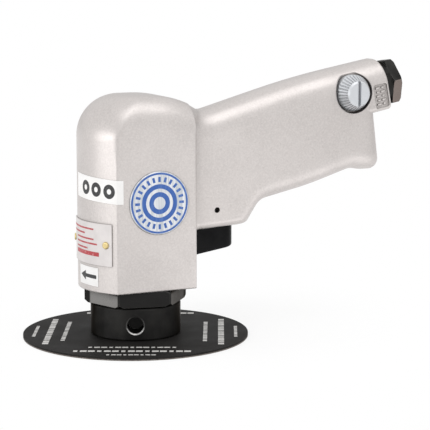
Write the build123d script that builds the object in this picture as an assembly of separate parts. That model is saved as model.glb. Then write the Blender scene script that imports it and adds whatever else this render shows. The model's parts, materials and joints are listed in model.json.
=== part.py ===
from build123d import *
from math import asin, atan2, cos, degrees, hypot, pi, radians, sin, sqrt, tan
import os

# Air driven disc sander. Spindle axis on Z, abrasive face at Z = 0, handle towards +X. Millimetres.

# Clearances
RUN_FIT = 0.05
SLIDE_GAP = 0.25
SEAT_GAP = 0.03
BALL_GAP = 0.06
OVERCUT = 1.0
CORNER_SHARE = 0.49

# Sanding disc
DISC_R = 50.0
ABRASIVE_T = 0.5
PAD_T = 0.8
DISH_FOOT_R = 16.6
DISH_TOP_R = 13.8
DISH_RISE = 1.8
CLAMP_FLANGE_R = 12.0
CLAMP_SHANK_R = 3.0
CLAMP_SHANK_L = 11.0
SPANNER_HOLE_R = 1.3
SPANNER_HOLE_DEPTH = 1.1
SPANNER_PITCH_R = 8.0

# Hub
HUB_R = 20.0
HUB_TOP = 15.6
HUB_EDGE = 0.8
HUB_WEB_T = 4.0
HUB_NECK_R = 7.2
TOMMY_R = 3.5
TOMMY_DEPTH = 10.0
TOMMY_Z = 8.2
TOMMY_CHAMFER = 0.6
TOMMY_ANGLE = -112.5

# Clamp nut
NUT_GAP = 0.5
NUT_AF = 40.0
NUT_CORNER_R = 22.9
NUT_CORNER_ANGLE = 49.4
NUT_CHAMFER = 1.0
NUT_THREAD_R = 18.6
NUT_NECK_L = 13.0
NUT_LIP_T = 2.0
NUT_LIP_GAP = 0.5
NUT_BORE_R = 11.4
SEAL_T = 4.0
SEAL_GAP = 0.2

# Motor head
HEAD_BOTTOM = 23.0
HEAD_TOP = 107.3
HEAD_HALF_W = 21.0
HEAD_FRONT_X = -25.0
HEAD_EDGE_X = -16.7
HEAD_REAR_X = 20.8
FRONT_ROUND = 18.0
SIDE_ROUND = 13.0
DOME_START_X = 2.0
DOME_R = 48.0
REAR_EDGE_ROUND = 1.2
CORNER_X = -1.0
CORNER_R = 27.0
CORNER_ROUND = 22.0
CORNER_LIFT = 0.7

# Handle. RISE_Z, INLET_Z and CHAMBER_TOP are heights from the head's top
HANDLE_HALF_W = 13.0
HANDLE_TOP_ROUND = 11.4
CREST_HALF_W = 1.2
GRIP_EDGE_ROUND = 6.5
DOME_FALL = 27.0
VALLEY_R = 10.0
RISE_X = 35.4
RISE_Z = -7.0
HANDLE_RISE = 15.6
HANDLE_BEND_R = 400.0
ROOT_FLARE = 8.0
ROOT_REACH = 6.0
ROOT_SINK = 0.4
SEAM_Z = 79.0
SEAM_LAP = 3.0
BLOCK_REAR_X = 50.6
BLOCK_REAR_Z = 48.4
BLOCK_SLOPE = 3.5
BLOCK_EDGE_ROUND = 3.2

# Lower edge of the grip, from the trigger block to the rear corner, with distances ahead of the inlet
GRIP_FRONT_X = 57.0
GRIP_FRONT_Z = 58.2
GRIP_MIDDLE_AHEAD = 39.3
GRIP_MIDDLE_Z = 63.6
GRIP_LIP_AHEAD = 17.8
GRIP_LIP_Z = 70.2
GRIP_HEEL_AHEAD = 12.8
GRIP_HEEL_Z = 69.2
GRIP_CORNER_AHEAD = 2.5
GRIP_CORNER_Z = 69.2
GRIP_FRONT_R = 8.0
GRIP_MIDDLE_R = 150.0
GRIP_LIP_R = 9.8
GRIP_HEEL_R = 16.0
GRIP_CORNER_R = 7.0
GRIP_REAR_LEAN = 7.2

# Air inlet
INLET_TILT = 10.5
INLET_X = 121.3
INLET_Z = 0.3
BOSS_TOP = 12.4
BOSS_DROP = 10.8
BOSS_EDGE_ROUND = 3.0
BOSS_RIM_ROUND = 1.2
PASSAGE_R = 4.5
INLET_THREAD_R = 8.4
INLET_THREAD_L = 13.0
INLET_SEAL_T = 0.8
INLET_SEAL_R = 10.4
COLLAR_R = 10.0
COLLAR_L = 3.0
INLET_HEX_AF = 20.0
INLET_HEX_L = 4.4
INLET_HEX_CHAMFER = 0.8
INLET_HEX_ANGLE = -6.0
INLET_BORE_R = 5.75
INLET_BORE_L = 12.0
SCREEN_T = 0.8
SCREEN_HOLE_R = 0.5
SCREEN_PITCH = 1.8

# Recessed panel on the boss
PANEL_AHEAD = 4.0
PANEL_W = 7.0
PANEL_H = 11.0
PANEL_DROP = 3.6
PANEL_DEPTH = 0.8
PANEL_CORNER_R = 1.0

# Regulator
REG_AHEAD = 18.4
REG_LIFT = 0.8
REG_POCKET_R = 9.3
REG_POCKET_DEPTH = 4.0
DIAL_R = 8.3
DIAL_FACE_R = 5.7
DIAL_LIFT = 0.3
DIAL_RIM_H = 3.0
DIAL_CONE_H = 5.6
DIAL_FACE_EDGE = 0.7
DIAL_NOTCHES = 32
DIAL_NOTCH_R = 0.35
DIAL_NOTCH_SHARE = 0.35
DIAL_SLOT_W = 1.5
DIAL_SLOT_DEPTH = 1.8
SPOOL_R = 4.0
SPOOL_PORT_R = 2.6
CLIP_POCKET_R = 6.0
CLIP_POCKET_DEPTH = 2.4
CLIP_R = 5.4
CLIP_T = 0.8
CLIP_GROOVE = 0.6
RING_WIRE_R = 0.7
RING_Y = -5.6

# Throttle valve
VALVE_X = 34.0
BUSH_R = 5.5
BUSH_L = 15.0
BUSH_SEAT_R = 3.0
BUSH_GUIDE_L = 5.0
BUSH_PORT_R = 2.2
STEM_R = 1.5
VALVE_HEAD_R = 4.4
VALVE_HEAD_T = 2.0
VALVE_SEAL_T = 1.0
STEM_GAP = 0.2
CHAMBER_TOP = -11.3
SPRING_WIRE_R = 0.45
SPRING_R = 3.3
SPRING_TURNS = 7
SPRING_END_GAP = 0.1
FEED_R = 3.0

# Trigger
TRIGGER_FRONT_X = 22.4
TRIGGER_REAR_X = 46.2
TRIGGER_HALF_W = 6.0
TRIGGER_TOP = 60.2
TRIGGER_FRONT_Z = 34.0
TRIGGER_REAR_Z = 37.6
TRIGGER_CORNER_R = 5.0
TRIGGER_EDGE_ROUND = 1.2
TRIGGER_TRAVEL = 4.0
TRIGGER_HEADROOM = 0.4
PIN_Z = 55.6
PIN_R = 1.25
PIN_SLOT_GAP = 0.2
PIN_RECESS = 2.0

# Vane motor
MOTOR_R = 17.5
LOWER_PLATE_T = 10.0
CYLINDER_L = 40.0
UPPER_PLATE_T = 10.0
PLATE_BORE_GAP = 0.6
GASKET_T = 1.0
GASKET_R = 12.5
ROTOR_R = 12.6
ROTOR_END_GAP = 0.15
CYLINDER_BORE_R = 14.4
ECCENTRIC = 1.55
VANE_COUNT = 5
VANE_T = 1.5
VANE_GAP = 0.1
VANE_ROOT_R = 6.6
VANE_TIP_GAP = 0.05
DOWEL_R = 1.1
DOWEL_PITCH_R = 15.1
DOWEL_L = 8.0
INLET_GROOVE_DEPTH = 1.6
INLET_GROOVE_H = 7.0
INLET_GROOVE_FROM = -12.0
INLET_GROOVE_SPAN = 42.0
INLET_PORT_INSET = 6.0
CYL_PORT_R = 1.4
EXHAUST_ANGLES = (-40.0, -58.0, -76.0)
EXHAUST_ROWS = 4
EXHAUST_ROW_PITCH = 4.2
EXHAUST_GROOVE_DEPTH = 1.0
EXHAUST_GROOVE_FROM = -92.0
EXHAUST_GROOVE_TO = -26.0

# Ball bearings, with shares of the depth between bore and outside
LOWER_BORE_R = 5.0
LOWER_OUTER_R = 13.0
LOWER_WIDTH = 8.0
LOWER_BALLS = 7
UPPER_BORE_R = 4.0
UPPER_OUTER_R = 11.0
UPPER_WIDTH = 7.0
UPPER_BALLS = 7
BALL_SHARE = 0.29
LAND_SHARE = 0.19
CAGE_END_SHARE = 0.1
CAGE_WALL_SHARE = 0.08

# Exhaust
DUCT_Y_IN = 6.9
DUCT_Y_OUT = 10.4
DUCT_LOW = 72.0
DUCT_HIGH = 86.0
CAVITY_HALF_W = 8.5
CAVITY_FRONT = 44.0
CAVITY_AHEAD = 13.3
CAVITY_FLOOR = 6.0
CAVITY_FRONT_TOP = 84.0
CAVITY_REAR_TOP = 89.5
GRILLE_Z = 84.6
GRILLE_W = 12.0
GRILLE_H = 15.0
GRILLE_T = 1.6
GRILLE_CORNER_R = 1.5
GRILLE_SLOTS = 4
GRILLE_SLOT_W = 7.6
GRILLE_SLOT_H = 1.0
GRILLE_SLOT_PITCH = 1.9
GRILLE_NECK = 8.6
GRILLE_SCREW_PITCH = 11.4
GRILLE_SCREW_R = 0.8
GRILLE_SCREW_L = 5.0
GRILLE_HEAD_R = 1.35
GRILLE_HEAD_T = 0.7
SILENCER_L = 14.0
SILENCER_GAP = 0.1

# Plate, rivets and badge
PLATE_T = 0.5
PLATE_Z = 44.3
PLATE_H = 18.2
PLATE_ANGLE = 6.5
PLATE_HALF_ANGLE = 32.0
RIVET_HALF_ANGLE = 26.5
RIVET_R = 0.9
RIVET_HEAD_R = 1.6
RIVET_HEAD_H = 0.7
RIVET_ROUND_SHARE = 0.8
RIVET_L = 4.0
BADGE_X = 2.8
BADGE_Z = 61.8
BADGE_R = 13.7
BADGE_T = 0.9
BADGE_RECESS = 0.5

# Worked out from the sizes above
PAD_TOP = ABRASIVE_T + PAD_T
NUT_BOTTOM = HUB_TOP + NUT_GAP
MOTOR_LOW = HEAD_BOTTOM + NUT_NECK_L
CYL_LOW = MOTOR_LOW + LOWER_PLATE_T
CYL_HIGH = CYL_LOW + CYLINDER_L
MOTOR_HIGH = CYL_HIGH + UPPER_PLATE_T
BORE_TOP = MOTOR_HIGH + GASKET_T
TILT = radians(INLET_TILT)
AXIS = Vector(cos(TILT), 0, sin(TILT))
ACROSS = Vector(-sin(TILT), 0, cos(TILT))
INLET_HEIGHT = HEAD_TOP + INLET_Z
INLET_END = Vector(INLET_X, 0, INLET_HEIGHT)
INLET_PLANE = Plane(origin=INLET_END, x_dir=(0, -1, 0), z_dir=AXIS)
FRONT_SAG = HEAD_EDGE_X - HEAD_FRONT_X
FRONT_R = (HEAD_HALF_W**2 + FRONT_SAG**2) / (2 * FRONT_SAG)
FRONT_CENTRE_X = HEAD_FRONT_X + FRONT_R
GRIP_FRONT = (GRIP_FRONT_X, GRIP_FRONT_Z)
GRIP_MIDDLE = (INLET_X - GRIP_MIDDLE_AHEAD, GRIP_MIDDLE_Z)
GRIP_LIP = (INLET_X - GRIP_LIP_AHEAD, GRIP_LIP_Z)
GRIP_HEEL = (INLET_X - GRIP_HEEL_AHEAD, GRIP_HEEL_Z)
GRIP_CORNER = (INLET_X - GRIP_CORNER_AHEAD, GRIP_CORNER_Z)
PANEL_X = INLET_X - PANEL_AHEAD
CAVITY_REAR = INLET_X - CAVITY_AHEAD
LOWER_BEARING = (LOWER_BORE_R, LOWER_OUTER_R, LOWER_WIDTH, LOWER_BALLS)
UPPER_BEARING = (UPPER_BORE_R, UPPER_OUTER_R, UPPER_WIDTH, UPPER_BALLS)
REG_X = INLET_X - REG_AHEAD
REG_Z = INLET_HEIGHT - (INLET_X - REG_X) * tan(TILT) + REG_LIFT
POCKET_FLOOR_Y = -HANDLE_HALF_W + REG_POCKET_DEPTH
TRIGGER_POCKET_TOP = TRIGGER_TOP + TRIGGER_TRAVEL + TRIGGER_HEADROOM
SEAT_Z = TRIGGER_POCKET_TOP + BUSH_L
STEM_LOW = TRIGGER_TOP + STEM_GAP
HEAD_LOW = SEAT_Z + VALVE_SEAL_T
HEAD_HIGH = HEAD_LOW + VALVE_HEAD_T
CHAMBER_HEIGHT = HEAD_TOP + CHAMBER_TOP
FEED_Z = TRIGGER_POCKET_TOP + BUSH_GUIDE_L + BUSH_PORT_R
REAR_LEAN = radians(GRIP_REAR_LEAN)


def cylinder(r, low, high, x=0.0, y=0.0):
    """Upright cylinder between two heights."""
    return Pos(x, y, (low + high) / 2) * Cylinder(r, high - low)


def ring(r_out, r_in, low, high):
    """Upright ring between two heights."""
    return cylinder(r_out, low, high) - cylinder(r_in, low - OVERCUT, high + OVERCUT)


def rod(plane, r, low, high):
    """Cylinder along a plane's normal, between two distances from it."""
    return extrude(plane.offset(low) * Circle(r), amount=high - low)


def slab(outline, half_width):
    """Outline in the XZ plane, extruded to both sides of it."""
    return extrude(Plane.XZ * make_face(outline), amount=half_width, both=True)


def corner_round(radius, before, corner, after):
    """Rounding of an outline's corner, limited by the lines that meet there."""
    legs = [Vector(*end) - Vector(*corner) for end in (before, after)]
    half_turn = (180 - legs[0].get_angle(legs[1])) / 2
    return min(radius, min(leg.length for leg in legs) * CORNER_SHARE / tan(radians(half_turn)))


def side_edges(solid, half_width):
    """Edges that lie on the two side planes of a slab."""
    return solid.edges().filter_by(lambda e: abs(abs(e.center().Y) - half_width) < 1e-4)


def rear_face_x(z):
    """X of the leaning rear face of the grip at a height."""
    return GRIP_CORNER[0] - (z - GRIP_CORNER[1]) * tan(REAR_LEAN)


def front_point(angle, z, r=None):
    """Point on the curved front of the head, or at another radius about its centre."""
    r = FRONT_R if r is None else r
    return Vector(FRONT_CENTRE_X - r * cos(radians(angle)), -r * sin(radians(angle)), z)


def front_plane(angle, z):
    """Plane that touches the curved front, with its normal outwards."""
    out = Vector(-cos(radians(angle)), -sin(radians(angle)), 0)
    return Plane(origin=front_point(angle, z), x_dir=(0, 0, 1), z_dir=out)


def badge_plane():
    """Plane of the flat side at the badge, with its normal outwards."""
    return Plane(origin=(BADGE_X, -HEAD_HALF_W, BADGE_Z), x_dir=(1, 0, 0), z_dir=(0, -1, 0))


def dial_plane():
    """Plane of the pocket floor at the regulator, with its normal outwards."""
    return Plane(origin=(REG_X, POCKET_FLOOR_Y, REG_Z), x_dir=(1, 0, 0), z_dir=(0, -1, 0))


def grille_plane():
    """Plane of the grip's rear face at the exhaust, with its normal outwards."""
    out = Vector(cos(REAR_LEAN), 0, sin(REAR_LEAN))
    return Plane(origin=(rear_face_x(GRILLE_Z), 0, GRILLE_Z), x_dir=(0, 1, 0), z_dir=out)


def head_shell():
    """Motor head: curved front, flat sides, domed top that falls away to the rear."""
    length = HEAD_REAR_X - HEAD_FRONT_X + OVERCUT
    height = HEAD_TOP - HEAD_BOTTOM
    block = Box(length, 2 * HEAD_HALF_W, height)
    block = Pos(HEAD_REAR_X - length / 2, 0, HEAD_BOTTOM + height / 2) * block
    corners = block.edges().filter_by(Axis.Z).group_by(Axis.X)[-1]
    block = fillet(corners, REAR_EDGE_ROUND)
    brow_r = FRONT_R - FRONT_ROUND
    brow_z = HEAD_TOP - FRONT_ROUND
    brow = CenterArc((brow_r, brow_z), FRONT_ROUND, 0, 90)
    sides = Polyline((brow_r, HEAD_TOP), (0, HEAD_TOP), (0, HEAD_BOTTOM), (FRONT_R, HEAD_BOTTOM),
                     (FRONT_R, brow_z))
    nose = Pos(FRONT_CENTRE_X, 0, 0) * revolve(Plane.XZ * make_face(brow + sides), Axis.Z)
    fore_x = HEAD_FRONT_X - OVERCUT
    aft_x = HEAD_REAR_X + OVERCUT
    low = HEAD_BOTTOM - OVERCUT
    top = Line((fore_x, HEAD_TOP), (DOME_START_X, HEAD_TOP))
    dome = ThreePointArc(*[dome_point(x) for x in (DOME_START_X, (DOME_START_X + aft_x) / 2, aft_x)])
    rest = Polyline(dome_point(aft_x), (aft_x, low), (fore_x, low), (fore_x, HEAD_TOP))
    cover = slab(top + dome + rest, HEAD_HALF_W)
    crown = side_edges(cover, HEAD_HALF_W).filter_by(lambda e: e.bounding_box().min.Z > low + OVERCUT)
    cover = fillet(crown.filter_by(Axis.Z, reverse=True), SIDE_ROUND)
    return block & nose & cover & corner_cap()


def corner_cap():
    """Cap that takes the sharpness off the dome's two front corners."""
    low = HEAD_BOTTOM - OVERCUT
    high = HEAD_TOP + CORNER_LIFT
    bend_r = CORNER_R - CORNER_ROUND
    bend_z = high - CORNER_ROUND
    bend = CenterArc((bend_r, bend_z), CORNER_ROUND, 0, 90)
    sides = Polyline((bend_r, high), (0, high), (0, low), (CORNER_R, low), (CORNER_R, bend_z))
    half = make_face(bend + sides)
    tunnel = extrude(Plane.YZ * half, amount=HEAD_REAR_X - CORNER_X + OVERCUT)
    tunnel = tunnel + mirror(tunnel, about=Plane.XZ)
    return Pos(CORNER_X, 0, 0) * (revolve(Plane.XZ * half, Axis.Z) + tunnel)


def dome_point(x):
    """Point on the dome's profile behind its flat stretch."""
    return (x, HEAD_TOP - DOME_R + sqrt(DOME_R**2 - (x - DOME_START_X)**2))


def handle_plan():
    """Prism of the handle seen from above, flared where it meets the head."""
    root_x = HEAD_REAR_X - ROOT_SINK
    turn = asin(ROOT_REACH / ROOT_FLARE)
    aft_x = INLET_X + 2 * BOSS_TOP
    sides = []
    for side in (-1, 1):
        centre_y = HANDLE_HALF_W + ROOT_FLARE
        bend = [(root_x + ROOT_REACH - ROOT_FLARE * sin(a), side * (centre_y - ROOT_FLARE * cos(a)))
                for a in (turn, turn / 2, 0)]
        sides.append(ThreePointArc(*bend))
        sides.append(Line(bend[2], (aft_x, side * HANDLE_HALF_W)))
    root_y = HANDLE_HALF_W + ROOT_FLARE * (1 - cos(turn))
    ends = Line((root_x, -root_y), (root_x, root_y)) + Line((aft_x, -HANDLE_HALF_W), (aft_x, HANDLE_HALF_W))
    plan = make_face(sides[0] + sides[1] + sides[2] + sides[3] + ends)
    return extrude(plan, amount=HEAD_TOP + DISC_R)


def handle_top():
    """Upper half of the handle: round-topped, ending in the air inlet boss."""
    top_end = INLET_END + ACROSS * BOSS_TOP
    rise = tan(radians(HANDLE_RISE))
    fall = tan(radians(DOME_FALL))
    root_x = HEAD_REAR_X - ROOT_SINK
    root = dome_point(root_x)
    fall_x = DOME_START_X + DOME_R * sin(radians(DOME_FALL))
    fall_start = dome_point(fall_x)
    # The top line falls off the dome, rises along the handle and flattens towards the inlet
    rise_z = HEAD_TOP + RISE_Z
    valley_x = (fall_start[1] - rise_z + fall_x * fall + RISE_X * rise) / (rise + fall)
    bend_x = (top_end.Z - rise_z + RISE_X * rise - top_end.X * tan(TILT)) / (rise - tan(TILT))
    valley = (valley_x, rise_z + (valley_x - RISE_X) * rise)
    bend = (bend_x, rise_z + (bend_x - RISE_X) * rise)
    finish = (top_end.X, top_end.Z)
    rounds = [corner_round(VALLEY_R, fall_start, valley, bend),
              corner_round(HANDLE_BEND_R, valley, bend, finish)]
    low_end = INLET_END - ACROSS * BOSS_DROP
    low_in = low_end - AXIS * (INLET_THREAD_L * 2)
    dome = ThreePointArc(root, dome_point((root_x + fall_x) / 2), fall_start)
    crest = FilletPolyline(fall_start, valley, bend, finish, radius=rounds)
    rest = Polyline(finish, (low_end.X, low_end.Z), (low_in.X, low_in.Z), (root_x, SEAM_Z - SEAM_LAP), root)
    bar = slab(dome + crest + rest, HEAD_HALF_W) & handle_plan()
    edges = bar.edges().filter_by(lambda e: abs(e.center().Y) > HANDLE_HALF_W - 1e-4)
    upper = edges.filter_by(lambda e: e.bounding_box().min.Z > valley[1] - 1e-3)
    bar = fillet(upper, min(HANDLE_TOP_ROUND, HANDLE_HALF_W - CREST_HALF_W))
    under = side_edges(bar, HANDLE_HALF_W).filter_by(
        lambda e: abs((e.center() - low_end).dot(ACROSS)) < 1e-3)
    bar = fillet(under, BOSS_EDGE_ROUND)
    rim = bar.faces().filter_by(lambda f: (f.center() - INLET_END).dot(AXIS) > -1e-3).edges()
    return fillet(rim, BOSS_RIM_ROUND)


def grip_block():
    """Lower half of the handle: trigger block, finger grip and rounded heel."""
    block_front_x = HEAD_REAR_X - ROOT_SINK
    block_front_z = BLOCK_REAR_Z - (BLOCK_REAR_X - block_front_x) * tan(radians(BLOCK_SLOPE))
    rear_top = INLET_HEIGHT - BOSS_DROP / 2
    spots = [(BLOCK_REAR_X, BLOCK_REAR_Z), GRIP_FRONT, GRIP_MIDDLE, GRIP_LIP, GRIP_HEEL, GRIP_CORNER,
             (rear_face_x(rear_top), rear_top)]
    radii = [GRIP_FRONT_R, GRIP_MIDDLE_R, GRIP_LIP_R, GRIP_HEEL_R, GRIP_CORNER_R]
    rounds = [corner_round(radius, *spots[k:k + 3]) for k, radius in enumerate(radii)]
    lower = FilletPolyline(*spots, radius=rounds)
    rest = Polyline((rear_face_x(rear_top), rear_top), (block_front_x, SEAM_Z + SEAM_LAP),
                    (block_front_x, block_front_z), (BLOCK_REAR_X, BLOCK_REAR_Z))
    block = slab(lower + rest, HEAD_HALF_W) & handle_plan()
    chain = side_edges(block, HANDLE_HALF_W)
    chain = chain.filter_by(lambda e: e.bounding_box().min.X > BLOCK_REAR_X - 1e-3)
    block = fillet(chain, GRIP_EDGE_ROUND)
    under = block.faces().sort_by(Axis.Z)[0]
    rim = under.edges().filter_by(lambda e: e.center().X > block_front_x + 1e-3)
    return fillet(rim, BLOCK_EDGE_ROUND)


def trigger_outline(gap):
    """Plan of the trigger, or of its pocket when grown by a gap."""
    length = TRIGGER_REAR_X - TRIGGER_FRONT_X + 2 * gap
    shape = RectangleRounded(length, 2 * (TRIGGER_HALF_W + gap), TRIGGER_CORNER_R + gap)
    return Pos((TRIGGER_FRONT_X + TRIGGER_REAR_X) / 2, 0) * shape


def air_spaces():
    """Motor bore, air passages, valve, trigger and exhaust spaces inside the housing."""
    spaces = [
        cylinder(NUT_THREAD_R, HEAD_BOTTOM - OVERCUT, MOTOR_LOW),
        cylinder(MOTOR_R, HEAD_BOTTOM, BORE_TOP),
        rod(INLET_PLANE, INLET_THREAD_R, -INLET_THREAD_L, OVERCUT),
        rod(INLET_PLANE, PASSAGE_R, -(INLET_X - VALVE_X) / cos(TILT), 0),
        cylinder(BUSH_R, TRIGGER_POCKET_TOP - OVERCUT, CHAMBER_HEIGHT, VALVE_X),
        rod(Plane(origin=(VALVE_X, 0, FEED_Z), z_dir=(-1, 0, 0)), FEED_R, 0, VALVE_X - MOTOR_R + OVERCUT),
        Pos(0, 0, HEAD_BOTTOM) * extrude(trigger_outline(SLIDE_GAP), TRIGGER_POCKET_TOP - HEAD_BOTTOM),
        rod(Plane(origin=(VALVE_X, 0, PIN_Z), z_dir=(0, 1, 0)), PIN_R, -DISC_R, DISC_R),
    ]
    pocket = dial_plane()
    spaces.append(rod(pocket, REG_POCKET_R, 0, REG_POCKET_DEPTH * 2))
    spaces.append(rod(pocket, SPOOL_R + RUN_FIT, -HANDLE_HALF_W * 2, 0))
    far_side = Plane(origin=(REG_X, HANDLE_HALF_W, REG_Z), z_dir=(0, 1, 0))
    spaces.append(rod(far_side, CLIP_POCKET_R, -CLIP_POCKET_DEPTH, OVERCUT))
    duct = Box(CAVITY_FRONT, DUCT_Y_OUT - DUCT_Y_IN, DUCT_HIGH - DUCT_LOW)
    duct_y = -(DUCT_Y_IN + DUCT_Y_OUT) / 2
    spaces.append(Pos(HEAD_REAR_X + CAVITY_FRONT / 4, duct_y, (DUCT_LOW + DUCT_HIGH) / 2) * duct)
    spaces.append(exhaust_cavity(0))
    back = grille_plane()
    spaces.append(extrude(back.offset(-GRILLE_T) * grille_outline(SEAT_GAP), amount=GRILLE_T * 2))
    depth = rear_face_x(GRILLE_Z) - CAVITY_REAR + OVERCUT
    spaces.append(extrude(back.offset(-depth) * Rectangle(GRILLE_NECK, GRILLE_NECK), amount=depth))
    for side in (-1, 1):
        spot = back * Pos(0, side * GRILLE_SCREW_PITCH / 2)
        spaces.append(rod(Plane(spot), GRILLE_SCREW_R + SEAT_GAP, -GRILLE_SCREW_L - GRILLE_T, 0))
    return spaces


def exhaust_cavity(gap):
    """Hollow of the grip that leads the exhaust to its rear."""
    front_low = GRIP_FRONT[1] + CAVITY_FLOOR
    rear_low = GRIP_LIP[1] + CAVITY_FLOOR
    outline = Polyline((CAVITY_FRONT, front_low), (GRIP_LIP[0], rear_low + gap),
                       (CAVITY_REAR - gap, rear_low + gap), (CAVITY_REAR - gap, CAVITY_REAR_TOP - gap),
                       (GRIP_LIP[0], CAVITY_REAR_TOP - gap), (CAVITY_FRONT, CAVITY_FRONT_TOP), close=True)
    return slab(outline, CAVITY_HALF_W - gap)


def grille_outline(gap):
    """Outline of the exhaust grille, or of its recess when grown by a gap."""
    return RectangleRounded(GRILLE_W + 2 * gap, GRILLE_H + 2 * gap, GRILLE_CORNER_R + gap)


def housing():
    """Cast body: head, handle and grip in one, with its machined spaces."""
    body = head_shell() + handle_top() + grip_block()
    body = body - air_spaces()
    recess = extrude(badge_plane().offset(-BADGE_RECESS) * Circle(BADGE_R + SEAT_GAP), amount=OVERCUT)
    body = body - recess
    panel_z = INLET_HEIGHT - (INLET_X - PANEL_X) * tan(TILT) - PANEL_DROP
    panel = Plane(origin=(PANEL_X, -HANDLE_HALF_W, panel_z), x_dir=AXIS, z_dir=(0, -1, 0))
    window = RectangleRounded(PANEL_W, PANEL_H, PANEL_CORNER_R)
    body = body - extrude(panel.offset(-PANEL_DEPTH) * window, amount=OVERCUT)
    for side in (-1, 1):
        spot = front_plane(PLATE_ANGLE + side * RIVET_HALF_ANGLE, PLATE_Z)
        body = body - rod(spot, RIVET_R + SEAT_GAP, -RIVET_L, OVERCUT)
    return body


def data_plate():
    """Thin plate bent round the front of the head."""
    sector = []
    for radius in (FRONT_R + SEAT_GAP, FRONT_R + SEAT_GAP + PLATE_T):
        ends = [front_point(PLATE_ANGLE + k * PLATE_HALF_ANGLE, 0, radius) for k in (-1, 0, 1)]
        sector.append(ends)
    inner = ThreePointArc(*sector[0])
    outer = ThreePointArc(*sector[1])
    sides = Line(sector[0][0], sector[1][0]) + Line(sector[0][2], sector[1][2])
    sheet = extrude(make_face(inner + outer + sides), amount=PLATE_H)
    plate = Pos(0, 0, PLATE_Z - PLATE_H / 2) * sheet
    for side in (-1, 1):
        spot = front_plane(PLATE_ANGLE + side * RIVET_HALF_ANGLE, PLATE_Z)
        plate = plate - rod(spot, RIVET_R + SEAT_GAP, -OVERCUT, OVERCUT)
    return plate


def plate_rivets():
    """Two domed drive rivets through the plate."""
    pieces = []
    for side in (-1, 1):
        spot = front_plane(PLATE_ANGLE + side * RIVET_HALF_ANGLE, PLATE_Z)
        seat = PLATE_T + 2 * SEAT_GAP
        shank = rod(spot, RIVET_R, SEAT_GAP - RIVET_L, seat + RIVET_HEAD_H / 2)
        cap = rod(spot, RIVET_HEAD_R, seat, seat + RIVET_HEAD_H)
        cap = fillet(cap.edges().sort_by(lambda e: (e.center() - spot.origin).dot(spot.z_dir))[-1],
                     RIVET_HEAD_H * RIVET_ROUND_SHARE)
        pieces.append(shank + cap)
    return pieces


def emblem_disc():
    """Plain round badge in its shallow recess."""
    badge = rod(badge_plane(), BADGE_R, -BADGE_RECESS, BADGE_T - BADGE_RECESS)
    return chamfer(badge.edges().sort_by(Axis.Y)[0], BADGE_T / 4)


def inlet_bushing():
    """Hexagonal air inlet with a collar, a threaded shank and a threaded mouth."""
    seat = INLET_SEAL_T
    hex_low = seat + COLLAR_L
    hex_high = hex_low + INLET_HEX_L
    shank = rod(INLET_PLANE, INLET_THREAD_R - SEAT_GAP, -INLET_THREAD_L + SEAT_GAP, seat)
    collar = rod(INLET_PLANE, COLLAR_R, seat, hex_low)
    hexagon = Rot(0, 0, INLET_HEX_ANGLE) * RegularPolygon(INLET_HEX_AF / 2, 6, major_radius=False)
    prism = extrude(INLET_PLANE.offset(hex_low) * hexagon, amount=INLET_HEX_L)
    corner_r = INLET_HEX_AF / sqrt(3)
    turned = rod(INLET_PLANE, corner_r, hex_low, hex_high)
    ends = turned.edges().filter_by(GeomType.CIRCLE)
    prism = prism & chamfer(ends, INLET_HEX_CHAMFER)
    body = shank + collar + prism
    body = body - rod(INLET_PLANE, INLET_BORE_R, hex_high - INLET_BORE_L, hex_high + OVERCUT)
    body = body - rod(INLET_PLANE, PASSAGE_R, -INLET_THREAD_L - OVERCUT, hex_high)
    mouth = body.edges().filter_by(GeomType.CIRCLE).group_by(lambda e: round(e.radius, 3))
    mouth = [g for g in mouth if abs(g[0].radius - INLET_BORE_R) < 1e-3][0]
    mouth = mouth.sort_by(lambda e: e.center().X)[-1]
    return chamfer(mouth, INLET_HEX_CHAMFER)


def inlet_seal():
    """Flat sealing washer between the boss and the inlet collar."""
    washer = rod(INLET_PLANE, INLET_SEAL_R, 0, INLET_SEAL_T)
    return washer - rod(INLET_PLANE, INLET_THREAD_R + SEAT_GAP, -OVERCUT, INLET_SEAL_T + OVERCUT)


def inlet_screen():
    """Perforated strainer just below the inlet's threaded mouth."""
    floor = INLET_SEAL_T + COLLAR_L + INLET_HEX_L - INLET_BORE_L - SCREEN_T
    screen = rod(INLET_PLANE, PASSAGE_R - SEAT_GAP, floor, floor + SCREEN_T)
    holes = [Pos(h.position) * Circle(SCREEN_HOLE_R) for h in HexLocations(SCREEN_PITCH / 2, 5, 5)
             if hypot(h.position.X, h.position.Y) < PASSAGE_R - 2 * SCREEN_HOLE_R]
    mesh = INLET_PLANE.offset(floor - OVERCUT) * Sketch(children=holes)
    return screen - extrude(mesh, 2 * OVERCUT + SCREEN_T)


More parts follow.
